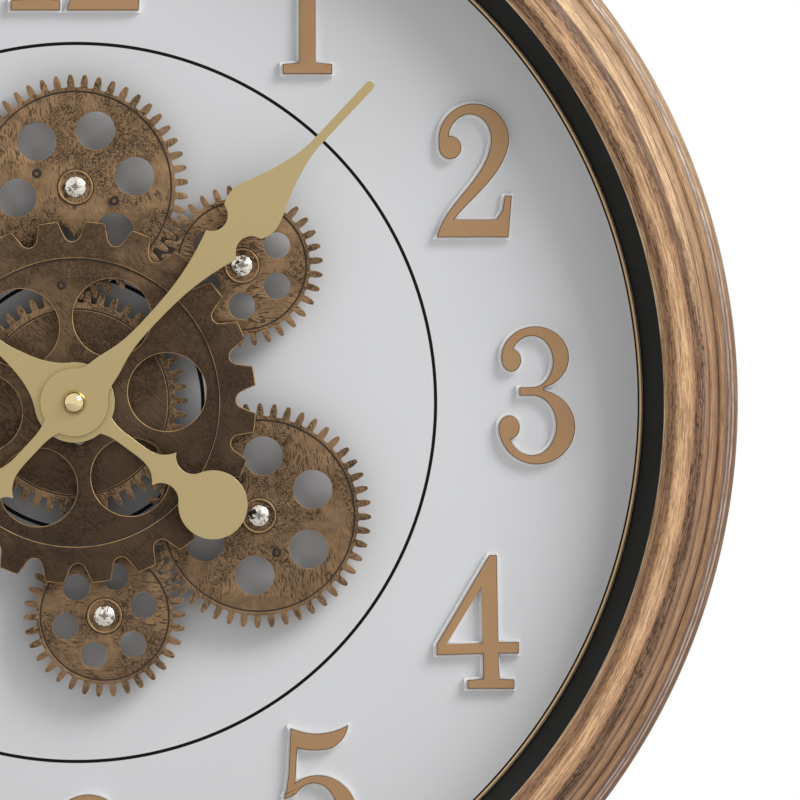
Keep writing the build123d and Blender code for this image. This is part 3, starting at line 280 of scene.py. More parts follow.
def softened(node, body, finish, edge):
    """A merged copy of a CAD node with its sharp edges rounded by edge."""
    mesh, work = merged(node)
    work.to_mesh(mesh)
    work.free()
    item = dress(bpy.data.objects.new(node + "_dressed", mesh), body, finish, [node], sharp=30.0)
    rounding = item.modifiers.new("edges", "BEVEL")
    rounding.width = edge
    rounding.segments = 2
    rounding.limit_method = "ANGLE"
    rounding.angle_limit = radians(35)
    rounding.use_clamp_overlap = False
    rounding.harden_normals = True
    return item


def faced(node, body, finish, edge, rise):
    """A merged copy of a CAD node whose front is drawn in by edge and raised by rise, so that a sloping rim runs round
    it."""
    mesh, work = merged(node)
    front = [face for face in work.faces if face.normal.y < -0.99]
    bmesh.ops.inset_region(work, faces=front, thickness=edge, depth=rise, use_even_offset=True, use_boundary=True)
    work.to_mesh(mesh)
    work.free()
    return dress(bpy.data.objects.new(node + "_dressed", mesh), body, finish, [node], sharp=20.0)


def coat(finish, *nodes):
    """Gives CAD nodes that keep their own shape a finish."""
    for node in nodes:
        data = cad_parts[node].data
        data.materials.clear()
        data.materials.append(finish_named(finish))


# Shader helpers


def feed(tree, node, sockets):
    """Links a node's sockets to what other nodes give, and sets the others to their values."""
    for key, value in sockets.items():
        if isinstance(value, bpy.types.NodeSocket):
            tree.links.new(value, node.inputs[key])
        else:
            node.inputs[key].default_value = value


def join(tree, kind, sockets=None, **settings):
    """A shader node with its settings made and its sockets fed."""
    node = tree.nodes.new("ShaderNode" + kind)
    for key, value in settings.items():
        setattr(node, key, value)
    feed(tree, node, sockets or {})
    return node


def calc(tree, operation, *values, clamp=False):
    """A calculation with numbers."""
    sockets = dict(enumerate(values))
    return join(tree, "Math", sockets, operation=operation, use_clamp=clamp).outputs[0]


def times(tree, first, second):
    """The product of two numbers."""
    return calc(tree, "MULTIPLY", first, second)


def most(tree, first, *others):
    """The greatest of several numbers."""
    for other in others:
        first = calc(tree, "MAXIMUM", first, other)
    return first


def vector_calc(tree, operation, *values, out="Vector"):
    """A calculation with vectors; out is Value where it gives one number."""
    return join(tree, "VectorMath", dict(enumerate(values)), operation=operation).outputs[out]


def parts_of(tree, vector):
    """A vector's three parts, by their letters."""
    return join(tree, "SeparateXYZ", {0: vector}).outputs


def fade(tree, value, low, high, start=0.0, end=1.0):
    """A smooth step of value from start at low to end at high."""
    node = join(tree, "MapRange", {"Value": value, "From Min": low, "From Max": high, "To Min": start, "To Max": end},
                interpolation_type="SMOOTHSTEP")
    return node.outputs["Result"]


def hump(tree, value, low, high, soft):
    """One between low and high, falling to zero over soft on each side."""
    rise = fade(tree, value, low - soft, low)
    fall = fade(tree, value, high, high + soft, 1.0, 0.0)
    return times(tree, rise, fall)


def blend(tree, factor, first, second):
    """The first colour, giving way to the second as factor goes from 0 to 1."""
    def full(colour):
        return colour if isinstance(colour, bpy.types.NodeSocket) else (*tuple(colour)[:3], 1.0)

    return join(tree, "Mix", {0: factor, 6: full(first), 7: full(second)}, data_type="RGBA").outputs[2]


def ramp(tree, value, low, high, stops):
    """A row of colours along value, each stop a place between low and high and a linear colour."""
    along = join(tree, "MapRange", {"Value": value, "From Min": low, "From Max": high}).outputs["Result"]
    node = join(tree, "ValToRGB", {0: along})
    row = node.color_ramp
    while len(row.elements) < len(stops):
        row.elements.new(1.0)
    for element, (place, colour) in zip(row.elements, stops):
        element.position = (place - low) / (high - low)
        element.color = (*colour, 1.0)
    return node.outputs["Color"]


def noise(tree, vector, scale, detail=3.0, roughness=0.55, distortion=0.0):
    """Soft random clouds of 0 to 1 along a vector."""
    node = join(tree, "TexNoise", {"Vector": vector, "Scale": scale, "Detail": detail, "Roughness": roughness,
                                   "Distortion": distortion})
    return node.outputs["Fac"]


def place_of(tree):
    """The point on the piece, in metres."""
    return join(tree, "TexCoord").outputs["Object"]


def normal_of(tree):
    """The way that the surface faces."""
    return join(tree, "NewGeometry").outputs["Normal"]


def radius_of(tree, vector):
    """The distance from the arbor's line, in millimetres."""
    flat = vector_calc(tree, "MULTIPLY", vector, (1000.0, 0.0, 1000.0))
    return vector_calc(tree, "LENGTH", flat, out="Value")


def group(name, inputs, outputs):
    """A new node group with float or vector inputs and float outputs."""
    tree = bpy.data.node_groups.new(name, "ShaderNodeTree")
    for label, default in inputs:
        kind = "NodeSocketVector" if default is None else "NodeSocketFloat"
        socket = tree.interface.new_socket(label, in_out="INPUT", socket_type=kind)
        if default is not None:
            socket.default_value = default
    for label in outputs:
        tree.interface.new_socket(label, in_out="OUTPUT", socket_type="NodeSocketFloat")
    return tree, tree.nodes.new("NodeGroupInput").outputs, tree.nodes.new("NodeGroupOutput")


def use_group(tree, name, sockets):
    """A shared effect, placed with its own values."""
    return join(tree, "Group", sockets, node_tree=bpy.data.node_groups[name]).outputs


def make_groups():
    """The effects that several finishes share."""
    tree, given, out = group("Cast texture", [("Vector", None), ("Scale", 1.0), ("Turn", 0.0)],
                             ["Lines", "Patches", "Mottle"])
    spread = join(tree, "VectorMath", {0: given["Vector"], "Scale": given["Scale"]}, operation="SCALE")
    vector = spread.outputs[0]
    patches = fade(tree, noise(tree, vector, 30.0, 2.0, 0.5, 0.6), 0.46, 0.55)
    worms = noise(tree, vector, 400.0, 0.8, 0.5, 1.2)
    worms = fade(tree, calc(tree, "ABSOLUTE", calc(tree, "SUBTRACT", worms, 0.5)), 0.02, 0.06, 1.0, 0.0)
    small = noise(tree, vector, 700.0, 0.4, 0.5, 0.9)
    small = fade(tree, calc(tree, "ABSOLUTE", calc(tree, "SUBTRACT", small, 0.47)), 0.015, 0.06, 0.6, 0.0)
    wander = join(tree, "TexNoise", {"Vector": vector, "Scale": 70.0, "Detail": 1.0}).outputs["Color"]
    swayed = vector_calc(tree, "MULTIPLY_ADD", wander, (0.006, 0.006, 0.006), vector)
    turned = join(tree, "VectorRotate", {"Vector": swayed, "Angle": given["Turn"]}, rotation_type="Y_AXIS").outputs[0]
    drawn = vector_calc(tree, "MULTIPLY", turned, (1600.0, 1600.0, 230.0))
    strokes = fade(tree, noise(tree, drawn, 1.0, 1.5, 0.5), 0.40, 0.47, 0.9, 0.0)
    strokes = times(tree, strokes, fade(tree, noise(tree, vector, 46.0, 1.0), 0.42, 0.55, 0.25, 1.0))
    curly = most(tree, worms, small)
    lines = join(tree, "Mix", {0: patches, 2: strokes, 3: curly}).outputs[0]
    feed(tree, out, {"Lines": lines, "Patches": patches, "Mottle": noise(tree, vector, 150.0, 4.0, 0.65)})

    tree, given, out = group("Plate edges", [("Normal", None)], ["Edge", "Wall"])
    facing = calc(tree, "ABSOLUTE", parts_of(tree, given["Normal"])["Y"])
    feed(tree, out, {"Edge": hump(tree, facing, 0.25, 0.93, 0.05), "Wall": fade(tree, facing, 0.05, 0.25, 1.0, 0.0)})

    tree, given, out = group("Ring grain", [("Vector", None), ("Along", 10.0), ("Across", 1500.0)], ["Grain"])
    flat = vector_calc(tree, "MULTIPLY", given["Vector"], (1.0, 0.0, 1.0))
    reach = vector_calc(tree, "LENGTH", flat, out="Value")
    turn = parts_of(tree, vector_calc(tree, "NORMALIZE", flat))
    depth = parts_of(tree, given["Vector"])["Y"]
    along_x = times(tree, turn["X"], given["Along"])
    along_z = times(tree, turn["Z"], given["Along"])
    across = times(tree, reach, given["Across"])
    vector = join(tree, "CombineXYZ", {0: along_x, 1: along_z, 2: across}).outputs[0]
    grain = join(tree, "TexNoise", {"Vector": vector, "W": times(tree, depth, given["Across"]), "Scale": 1.0,
                                    "Detail": 3.0, "Roughness": 0.6}, noise_dimensions="4D").outputs["Fac"]
    feed(tree, out, {"Grain": grain})

    tree, given, out = group("Fine tooth", [("Vector", None), ("Scale", 1500.0)], ["Speckle", "Cloud"])
    feed(tree, out, {"Speckle": noise(tree, given["Vector"], given["Scale"], 2.0, 0.6),
                     "Cloud": noise(tree, given["Vector"], 14.0, 3.0, 0.5)})


# Finishes


def shaded(tone, share):
    """A colour with each channel cut to a share."""
    return tuple(channel * share for channel in tone)


def bare(name):
    """A new material with its shader and its tree."""
    material = bpy.data.materials.new(name + "_finish")
    material.use_nodes = True
    tree = material.node_tree
    return tree, tree.nodes["Principled BSDF"]


def relief(tree, shader, height, strength, distance):
    """A bump from a height onto the shader's normal."""
    bump = join(tree, "Bump", {"Height": height, "Strength": strength, "Distance": distance})
    feed(tree, shader, {"Normal": bump.outputs["Normal"]})


def wood_finish(colours):
    """Stained wood: bands of tones across the moulding by radius in mm, long dark streaks and short pores along the
    ring, and painted highlights: a bright lip edge, pale lines at the outer bead, and in the upper part a paler outer
    band with fewer dark streaks and a white line."""
    tree, shader = bare("frame_wood")
    where = place_of(tree)
    reach = radius_of(tree, where)

    def grain(along, fineness):
        return use_group(tree, "Ring grain", {"Vector": where, "Along": along, "Across": fineness})["Grain"]

    mid, pale, brown, groove, line = (tuple(tone) for tone in (
        colours.wood, colours.wood_pale, colours.wood_brown, colours.wood_streak, colours.wood_highlight_line))
    dark = tuple(0.72 * a + 0.28 * b for a, b in zip(brown, groove))
    crown, top_highlight = srgb(234, 190, 146), srgb(238, 200, 156)
    # The first is a painted highlight on the edge of the lip; the second is the reeds' tone
    lip, reed = srgb(250, 222, 178), srgb(176, 137, 103)
    # The upper part of the ring carries painted light: its outer band paler with fewer dark streaks and a white
    # highlight line; its streak zones are moved there too
    top_light_and_grain = fade(tree, parts_of(tree, where)["Z"], 0.0, 0.12)
    swayed = calc(tree, "MULTIPLY_ADD", calc(tree, "SUBTRACT", grain(7.0, 120.0), 0.5), 4.0, reach)
    moulded = fade(tree, reach, 280.8, 281.6)
    across = calc(tree, "ADD", times(tree, swayed, calc(tree, "SUBTRACT", 1.0, moulded)), times(tree, reach, moulded))
    # The pale lines at 290.9 to 291.3 and 292.5 to 292.8 are painted highlights on the outer bead
    tone = ramp(tree, across, 261.0, 296.0, (
        (261.2, lip), (261.8, lip), (262.2, pale), (263.2, pale), (264.2, mid), (266.2, mid), (267.4, pale),
        (268.7, crown), (272.0, crown), (273.6, pale), (275.0, mid), (275.6, dark), (279.3, dark), (280.2, mid),
        (281.2, mid), (281.9, groove), (282.5, reed), (283.8, reed), (285.2, brown), (286.1, groove), (286.8, reed),
        (288.2, reed), (289.4, brown), (290.4, groove), (290.9, line), (291.3, line), (291.7, brown), (292.2, brown),
        (292.5, line), (292.8, line), (293.2, dark), (295.0, dark)))
    drawn_out, short, fine = grain(15.0, 1500.0), grain(95.0, 1500.0), grain(30.0, 1650.0)
    inner = times(tree, hump(tree, swayed, 263.9, 267.2, 0.9), fade(tree, top_light_and_grain, 0.0, 1.0, 0.56, 0.85))
    # Painted light: the dark outer streak zone fades towards the top
    outer = times(tree, hump(tree, swayed, 275.4, 279.5, 0.8), fade(tree, top_light_and_grain, 0.0, 1.0, 1.0, 0.2))
    top = times(tree, hump(tree, swayed, 273.2, 275.8, 0.7), times(tree, top_light_and_grain, 0.7))
    zone = most(tree, inner, top, outer)
    beside = times(tree, times(tree, top_light_and_grain, 0.45), hump(tree, swayed, 272.8, 275.6, 0.8))
    tone = blend(tree, beside, tone, brown)
    # Painted highlight: the outer band and the reeds paler towards the top
    tone = blend(tree, times(tree, top_light_and_grain, hump(tree, swayed, 278.6, 281.6, 0.9)), tone, top_highlight)
    tone = blend(tree, times(tree, top_light_and_grain, fade(tree, reach, 281.6, 283.0, 0.0, 0.42)), tone, top_highlight)
    # Painted highlight: a white line on the outer bead towards the top
    tone = blend(tree, times(tree, top_light_and_grain, hump(tree, reach, 290.9, 291.4, 0.25)), tone, srgb(236, 230, 228))
    on_band = calc(tree, "ADD", fade(tree, moulded, 0.0, 1.0, 0.40, 0.12), times(tree, top_light_and_grain, 0.22))
    streak = times(tree, fade(tree, drawn_out, 0.52, 0.56), most(tree, zone, on_band))
    pores = times(tree, fade(tree, short, 0.535, 0.57), most(tree, zone, 0.18))
    tone = blend(tree, fade(tree, fine, 0.44, 0.58, 0.0, 0.5), tone, srgb(118, 86, 62))
    tone = blend(tree, fade(tree, drawn_out, 0.32, 0.46, 0.30, 0.0), tone, srgb(224, 184, 144))
    tone = blend(tree, times(tree, streak, 0.7), tone, groove)
    tone = blend(tree, times(tree, pores, 0.85), tone, groove)
    feed(tree, shader, {"Base Color": tone, "Roughness": fade(tree, streak, 0.0, 1.0, 0.34, 0.6),
                        "Specular IOR Level": 0.22})
    relief(tree, shader, calc(tree, "SUBTRACT", fade(tree, fine, 0.2, 0.8, 0.0, 0.4), pores), 0.35, 0.0003)


def plain_finish(name, tone, roughness, metallic=0.0, shade=0.12, scale=1500.0, bumps=0.0):
    """A paint, plating or moulded plastic with a fine tooth and a faint cloud in its colour."""
    tree, shader = bare(name)
    where = place_of(tree)
    tooth = use_group(tree, "Fine tooth", {"Vector": where, "Scale": scale})
    colour = blend(tree, fade(tree, tooth["Cloud"], 0.3, 0.7), tone, shaded(tone, 1 - shade))
    colour = blend(tree, fade(tree, tooth["Speckle"], 0.55, 0.8, 0.0, 0.5), colour, shaded(tone, 1 - 2 * shade))
    uneven = fade(tree, tooth["Speckle"], 0.2, 0.8, roughness * 0.85, roughness * 1.15)
    feed(tree, shader, {"Base Color": colour, "Roughness": uneven, "Metallic": metallic})
    if bumps:
        relief(tree, shader, tooth["Speckle"], bumps, BUMP_HEIGHT)
    return tree, shader, colour


def dial_finish(colours):
    """Matt white paint with two printed black circles and a painted shadow just inside the gilt bead, on the front
    face alone.
    """
    tree, shader, colour = plain_finish("dial_white", tuple(colours.dial), 0.6, shade=0.012, scale=900.0, bumps=0.04)
    reach = radius_of(tree, place_of(tree))
    # Two printed circles, and a ring of painted shadow just inside the gilt bead
    print_and_shadow_rings = most(tree, hump(tree, reach, 159.8, 161.2, 0.1), hump(tree, reach, 55.7, 57.3, 0.1),
                 hump(tree, reach, 250.9, 251.7, 0.15))
    facing = parts_of(tree, normal_of(tree))["Y"]
    print_and_shadow_rings = times(tree, print_and_shadow_rings, fade(tree, facing, -0.9, -0.5, 1.0, 0.0))
    feed(tree, shader, {"Base Color": blend(tree, print_and_shadow_rings, colour, colours.ink_and_shadow), "Specular IOR Level": 0.15})


def bronze_finish(name, colours, tone, worn_and_highlight, line_share, scale, turn, gloss, side_shade):
    """Cast bronze paint: dark curly lines in some patches and drawn strokes in the others, a mottle, rubbed rims that
    are partly painted highlights, and painted shade that darkens the piece towards the lower right by a given share."""
    tree, shader = bare(name)
    where = place_of(tree)
    cast = use_group(tree, "Cast texture", {"Vector": where, "Scale": scale, "Turn": turn})
    rim = use_group(tree, "Plate edges", {"Normal": normal_of(tree)})
    colour = blend(tree, fade(tree, cast["Mottle"], 0.3, 0.7), shaded(tone, 0.62), tone)
    colour = blend(tree, fade(tree, cast["Patches"], 0.0, 1.0, 0.0, 0.12), colour, colours.bronze_dark)
    cloud = fade(tree, noise(tree, where, 26.0, 2.0), 0.40, 0.62, 0.0, 0.28)
    colour = blend(tree, cloud, colour, shaded(tone, 0.42))
    # Painted shade: the colour darkens towards the lower right of the piece
    shade_slope = vector_calc(tree, "DOT_PRODUCT", where, PAINTED_SHADE_SIDE, out="Value")
    colour = blend(tree, fade(tree, shade_slope, -0.35, 0.45, 0.0, side_shade), colour, shaded(tone, 0.3))
    flat = calc(tree, "SUBTRACT", 1.0, rim["Edge"], clamp=True)
    lines = times(tree, cast["Lines"], flat)
    colour = blend(tree, times(tree, lines, line_share), colour, colours.bronze_dark)
    colour = blend(tree, times(tree, rim["Wall"], 0.6), colour, colours.bronze_dark)
    # Rubbed edges: worn bronze that is also a painted highlight along the rims
    rubbed_and_highlit = times(tree, rim["Edge"], fade(tree, cast["Mottle"], 0.3, 0.6, 0.45, 1.0))
    colour = blend(tree, rubbed_and_highlit, colour, worn_and_highlight)
    feed(tree, shader, {"Base Color": colour, "Roughness": fade(tree, lines, 0.0, 1.0, 0.42, 0.7), "Metallic": 0.4,
                        "Specular IOR Level": gloss})
    relief(tree, shader, calc(tree, "SUBTRACT", fade(tree, cast["Mottle"], 0.0, 1.0, 0.0, 0.4), lines), 0.8, 0.0003)


def screw_finish():
    """Bright plated heads, with painted dark reflections in patches of the colour and painted shade on the floor
    of the cross."""
    tree, shader, colour = plain_finish("bright_screw", srgb(226, 220, 208), 0.2, metallic=1.0, shade=0.03, scale=900.0)
    facing = calc(tree, "ABSOLUTE", parts_of(tree, normal_of(tree))["Y"])
    # Painted shade on the floor of the cross, and painted dark reflections in patches
    floor = fade(tree, facing, 0.990, 0.9995, 0.0, 0.75)
    patches = fade(tree, noise(tree, place_of(tree), 620.0, 1.0, 0.5, 0.8), 0.56, 0.62, 0.0, 0.8)
    dark = most(tree, floor, patches)
    feed(tree, shader, {"Base Color": blend(tree, dark, colour, srgb(42, 42, 44))})


def figure_finish(colours):
    """Satin bronze paint on the figures, with dark rims and walls."""
    tree, shader, colour = plain_finish("numeral_bronze", tuple(colours.figure), 0.45, metallic=0.2, shade=0.05,
                                        scale=1100.0, bumps=0.08)
    rim = use_group(tree, "Plate edges", {"Normal": normal_of(tree)})
    cloud = noise(tree, place_of(tree), 60.0, 3.0)
    colour = blend(tree, fade(tree, cloud, 0.35, 0.7, 0.0, 0.3), colour, srgb(176, 146, 108))
    edges = most(tree, times(tree, rim["Edge"], 0.85), rim["Wall"])
    colour = blend(tree, edges, colour, srgb(84, 64, 42))
    feed(tree, shader, {"Base Color": colour, "Specular IOR Level": 0.3})


def hand_finish(colours):
    """Smooth pale gold with painted highlights on the rims."""
    tree, shader, colour = plain_finish("hand_gold", tuple(colours.hand), 0.4, metallic=0.75, shade=0.02, scale=1300.0)
    stretched = join(tree, "Mapping", {"Vector": place_of(tree), "Scale": (26.0, 26.0, 9.0),
                                       "Rotation": (0.0, radians(43.0), 0.0)}).outputs[0]
    sheen = noise(tree, stretched, 1.0, 1.0)
    colour = blend(tree, fade(tree, sheen, 0.3, 0.7, 0.0, 0.22), colour, srgb(184, 166, 128))
    rim = use_group(tree, "Plate edges", {"Normal": normal_of(tree)})
    # Painted highlight along the rims
    colour = blend(tree, times(tree, rim["Edge"], 0.6), colour, srgb(214, 196, 150))
    feed(tree, shader, {"Base Color": colour})


def finish_named(name):
    """The material of a finish."""
    return bpy.data.materials[name + "_finish"]


def make_finishes(colours):
    """The shared effects, and then every finish of the clock."""
    make_groups()
    wood_finish(colours)
    dial_finish(colours)
    for name, turn in (("gear_bronze", 0.12), ("gear_bronze_cross", 1.45)):
        bronze_finish(name, colours, tuple(colours.bronze), tuple(colours.bronze_worn_and_highlight), line_share=0.8, scale=1.0,
                      turn=turn, gloss=0.35, side_shade=0.3)
    bronze_finish("wheel_bronze", colours, srgb(114, 90, 66), srgb(206, 170, 116), line_share=0.4, scale=0.9, turn=0.8,
                  gloss=0.2, side_shade=0.8)
    screw_finish()
    figure_finish(colours)
    hand_finish(colours)
    tree, shader, _ = plain_finish("liner_black", srgb(24, 24, 22), 0.6, shade=0.1, bumps=0.05)
    feed(tree, shader, {"Specular IOR Level": 0.1})
    # Dark bronze for the stud marks, and for the rings of painted shade in the gears' corners
    plain_finish("bronze_marks_and_shade", srgb(44, 33, 24), 0.7, shade=0.1, bumps=0.1)
    plain_finish("gilt", srgb(222, 186, 138), 0.4, metallic=0.35, shade=0.06, scale=1100.0)
    plain_finish("numeral_white", srgb(254, 254, 254), 0.35, shade=0.015)
    plain_finish("polished_brass", srgb(228, 208, 162), 0.12, metallic=1.0, shade=0.05, scale=900.0)
    plain_finish("zinc_steel", srgb(172, 174, 176), 0.32, metallic=1.0, shade=0.08, scale=700.0)
    plain_finish("black_plastic", srgb(30, 30, 31), 0.5, shade=0.08, bumps=0.2)
    plain_finish("white_acetal", srgb(226, 222, 208), 0.4, shade=0.03)
    plain_finish("motor_can", srgb(176, 178, 180), 0.3, metallic=1.0, shade=0.06, scale=700.0)
    plain_finish("cell_wrap", srgb(58, 62, 70), 0.35, shade=0.06)
    plain_finish("coil_copper", srgb(176, 104, 66), 0.35, metallic=0.9, shade=0.08, scale=2200.0, bumps=0.3)
    plain_finish("board_green", srgb(30, 84, 46), 0.45, shade=0.1, bumps=0.1)


# Pieces

# Depths in mm from the wall, as the solids have them
DIAL_FRONT = 28.0
GEAR_BACK, GEAR_FRONT, WEB_FRONT = 36.0, 41.0, 40.4
WHEEL_BACK, WHEEL_FRONT, WHEEL_WEB = 43.0, 48.0, 47.0

# Teeth: their counts, module in mm, depth below the pitch line in modules and share of the pitch
LARGE_TEETH, SMALL_TEETH, SUN_TEETH = 48, 34, 48
MODULE, ROOT_SHARE, TOOTH_SHARE = 2.0, 1.5, 0.44
TOOTH_EDGE = 0.17

# Radii of the bores in mm
SATELLITE_BORE, SUN_BORE, WHEEL_BORE = 4.05, 9.05, 12.03


class CLOCK_OT_finishes(bpy.types.Operator):
    """Makes the shared effects and all finishes"""

    bl_idname = "clock.finishes"
    bl_label = "Finishes"

    def execute(self, context):
        make_finishes(context.scene.clock_colours)
        return {"FINISHED"}


class CLOCK_OT_frame_ring(bpy.types.Operator):
    """Builds the moulded wooden ring"""

    bl_idname = "clock.frame_ring"
    bl_label = "Wooden ring"

    def execute(self, context):
        sizes = context.scene.clock_sizes
        outer, lip, depth = (value / MM for value in (sizes.ring_outer, sizes.ring_lip, sizes.ring_depth))
        reed_1, reed_2, band = outer - 4.7, outer - 8.9, outer - 13.1
        crown = lip + (band - lip) * 0.45
        seat_r, rear_r, wall_r = 265.0, 273.0, 291.0
        lip_back, seat_back, flare = depth - 8.0, 24.0, 12.0
        profile = np.concatenate([
            arc((band, depth - 7.5), (crown, depth), (lip, depth - 16 / 3), 40),
            [(lip, lip_back), (seat_r, lip_back), (seat_r, seat_back), (rear_r, seat_back), (rear_r, 0.0),
             (wall_r, 0.0), (outer, flare)],
            arc((outer, depth - 25.0), (outer - 1.41, depth - 21.475), (reed_1, depth - 20.3), 14),
            arc((reed_1, depth - 17.4), (reed_1 - 2.1, depth - 14.4), (reed_2, depth - 14.7), 14),
            arc((reed_2, depth - 13.2), (reed_2 - 2.1, depth - 10.2), (band, depth - 9.0), 14),
        ])
        item = piece("wooden_ring", [lathe(profile, sizes.ring_steps)], "root", "frame_wood", ["frame_ring"],
                     sharp=40.0)
        lows, highs = (np.array(corner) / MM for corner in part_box("hanger_plate"))
        middle = (lows[2] + highs[2]) / 2
        plate_pocket = (-24.2, 24.2), (-1.0, 1.7), (middle - 7.2, middle + 7.2)
        head_pocket = (-5.4, 5.4), (-1.0, 10.0), (middle - 4.6, middle + 7.0)
        for width, depths, height in (plate_pocket, head_pocket):
            carve(item, block(width, depths, height))
        return {"FINISHED"}


def block(width, depths, height):
    """A box from its two places across, its two depths and its two heights, in mm."""
    corners = np.array([(x, -depth, z) for x in width for depth in depths for z in height]) * MM
    faces = [[0, 1, 3, 2], [4, 6, 7, 5], [0, 4, 5, 1], [2, 3, 7, 6], [0, 2, 6, 4], [1, 5, 7, 3]]
    return outward(corners, faces)


def carve(item, shell):
    """Cuts a closed shell out of a piece's mesh."""
    mesh = bpy.data.meshes.new("cut")
    mesh.from_pydata(shell[0], [], shell[1])
    cutter = bpy.data.objects.new("cut", mesh)
    bpy.context.scene.collection.objects.link(cutter)
    modifier = item.modifiers.new("pocket", "BOOLEAN")
    modifier.operation = "DIFFERENCE"
    modifier.object = cutter
    modifier.solver = "EXACT"
    bpy.context.view_layer.update()
    shaped = bpy.data.meshes.new_from_object(item.evaluated_get(bpy.context.evaluated_depsgraph_get()))
    item.modifiers.clear()
    old = item.data
    item.data = shaped
    bpy.data.meshes.remove(old)
    bpy.data.objects.remove(cutter)
    bpy.data.meshes.remove(mesh)


class CLOCK_OT_liner(bpy.types.Operator):
    """Builds the black liner and the gilt bead at its foot"""

    bl_idname = "clock.liner"
    bl_label = "Liner and bead"

    def execute(self, context):
        steps = context.scene.clock_sizes.ring_steps
        mouth, foot, back_r = (262.2, 62.0), (253.2, DIAL_FRONT), 264.8
        cone = np.linspace(mouth, foot, 12)
        liner = np.concatenate([cone, [(back_r, foot[1]), (back_r, mouth[1])]])
        piece("black_liner", [lathe(liner, steps)], "root", "liner_black", ["liner_ring"])
        inner, outer, shoulder = 251.6, 253.0, DIAL_FRONT + 0.8
        top = arc((outer, shoulder), ((inner + outer) / 2, shoulder + 0.8), (inner, shoulder), 9)
        bead = np.concatenate([top, [(inner, DIAL_FRONT), (outer, DIAL_FRONT)]])
        piece("gilt_bead", [lathe(bead, steps)], "root", "gilt", ["trim_ring"])
        return {"FINISHED"}


class CLOCK_OT_dial(bpy.types.Operator):
    """Finishes the dial and builds the numerals with softened edges"""

    bl_idname = "clock.dial"
    bl_label = "Dial and numerals"

    def execute(self, context):
        edge = context.scene.clock_sizes.edge_break
        coat("dial_white", "dial_board")
        coat("numeral_white", "numeral_bases")
        for hour in range(1, 13):
            faced(f"numeral_{hour:02d}", "root", "numeral_bronze", edge, edge * 0.6)
        return {"FINISHED"}


def tooth_outline(teeth, phase, centre=(0.0, 0.0)):
    """The outline of a spur wheel. One pitch is a row of radii and angles: up an involute flank, over a round crown,
    down the other flank and through a round root; the row is then repeated round the wheel."""
    pressure_angle = radians(14.5)
    pitch_r = teeth * MODULE / 2
    base_r = pitch_r * cos(pressure_angle)
    tip_r, root_r = pitch_r + 1.07 * MODULE, pitch_r - ROOT_SHARE * MODULE
    flank_r, floor_r = tip_r - 0.28 * MODULE, root_r - 0.28 * MODULE
    half_pitch = TOOTH_SHARE * pi / teeth + tan(pressure_angle) - pressure_angle

    def half(radius):
        pressure = np.arccos(np.minimum(1.0, base_r / radius))
        return half_pitch - (np.tan(pressure) - pressure)

    rise = np.linspace(root_r, flank_r, 7)
    swing = np.linspace(-1, 1, 9)[1:-1]
    crown_r = flank_r + (tip_r - flank_r) * np.sqrt(1 - np.abs(swing)**3)
    crown_a = swing * half(np.array([flank_r]))[0]
    root_half = pi / teeth - half(np.array([root_r]))[0]
    floor_radius = root_r - (root_r - floor_r) * np.sqrt(1 - swing**2)
    floor_a = pi / teeth + swing * root_half
    radii = np.concatenate([rise, crown_r, rise[::-1], floor_radius])
    angles = np.concatenate([-half(rise), crown_a, half(rise[::-1]), floor_a])
    turns = radians(phase) + 2 * pi / teeth * np.arange(teeth)
    all_angles = (turns[:, None] + angles[None, :]).ravel()
    all_radii = np.tile(radii, teeth)
    return np.stack([centre[0] + all_radii * np.cos(all_angles), centre[1] + all_radii * np.sin(all_angles)], axis=-1)


def ring_bead(inner, outer, foot, top, centre, steps=72):
    """A turned collar with a half-round top."""
    middle = (inner + outer) / 2
    crown = arc((outer, top - (outer - inner) / 2), (middle, top), (inner, top - (outer - inner) / 2), 9)
    return lathe(np.concatenate([crown, [(inner, foot), (outer, foot)]]), steps, centre)


def shade_ring(inner, outer, face, centre=(0.0, 0.0), steps=160):
    """A thin dark ring on a face: painted shade in the corner of a raised rim."""
    return lathe([(inner, face - 0.1), (outer, face - 0.1), (outer, face + 0.03), (inner, face + 0.03)], steps, centre)


def stud(face, spot):
    """A small round mark on a face: a collar and painted shade in the corner round it."""
    return [ring_bead(0.9, 1.8, face - 0.2, face + 0.5, spot, 32), shade_ring(1.75, 2.2, face, spot, 32)]


def satellite(name, teeth, phase, centre, hole_r, hole_orbit, hole_angle, marks, mark_orbit):
    """A show gear: a toothed rim, a lower web with six windows, a collar, a rear boss and stud marks."""
    bore = SATELLITE_BORE
    web_r = (teeth / 2 - ROOT_SHARE) * MODULE - 1.9
    rim = plate([tooth_outline(teeth, phase, centre), circle(web_r, 160, centre)], GEAR_BACK, GEAR_FRONT, TOOTH_EDGE)
    windows = [circle(hole_r, 64, polar(hole_orbit, hole_angle + 60 * k, centre)) for k in range(6)]
    web = plate([circle(web_r + 0.4, 160, centre), circle(bore, 48, centre), *windows], GEAR_BACK, WEB_FRONT, 0.22)
    boss = lathe([(bore, 34.3), (8.0, 34.3), (8.0, 36.2), (bore, 36.2)], 64, centre)
    shells = [rim, web, boss, ring_bead(6.9, 7.8, WEB_FRONT - 0.2, WEB_FRONT + 1.0, centre)]
    body = name.replace("_gear", "")
    finish = "gear_bronze" if teeth == LARGE_TEETH else "gear_bronze_cross"
    piece(name + "_dressed", shells, body, finish, [name])
    # Painted shade: dark rings in the corner inside the rim and round the collar
    marks_and_shade_rings = [shade_ring(web_r - 0.85, web_r - 0.2, WEB_FRONT, centre), shade_ring(7.8, 8.3, WEB_FRONT, centre)]
    for angle in marks:
        marks_and_shade_rings += stud(WEB_FRONT, polar(mark_orbit, angle, centre))
    piece(name + "_seams", marks_and_shade_rings, body, "bronze_marks_and_shade")


def mesh_phase(teeth_1, phase_1, teeth_2, direction):
    """The phase that puts a second gear, lying in a direction from the first, in mesh with it."""
    return direction + 180 - (180 - teeth_1 * (direction - phase_1)) / teeth_2


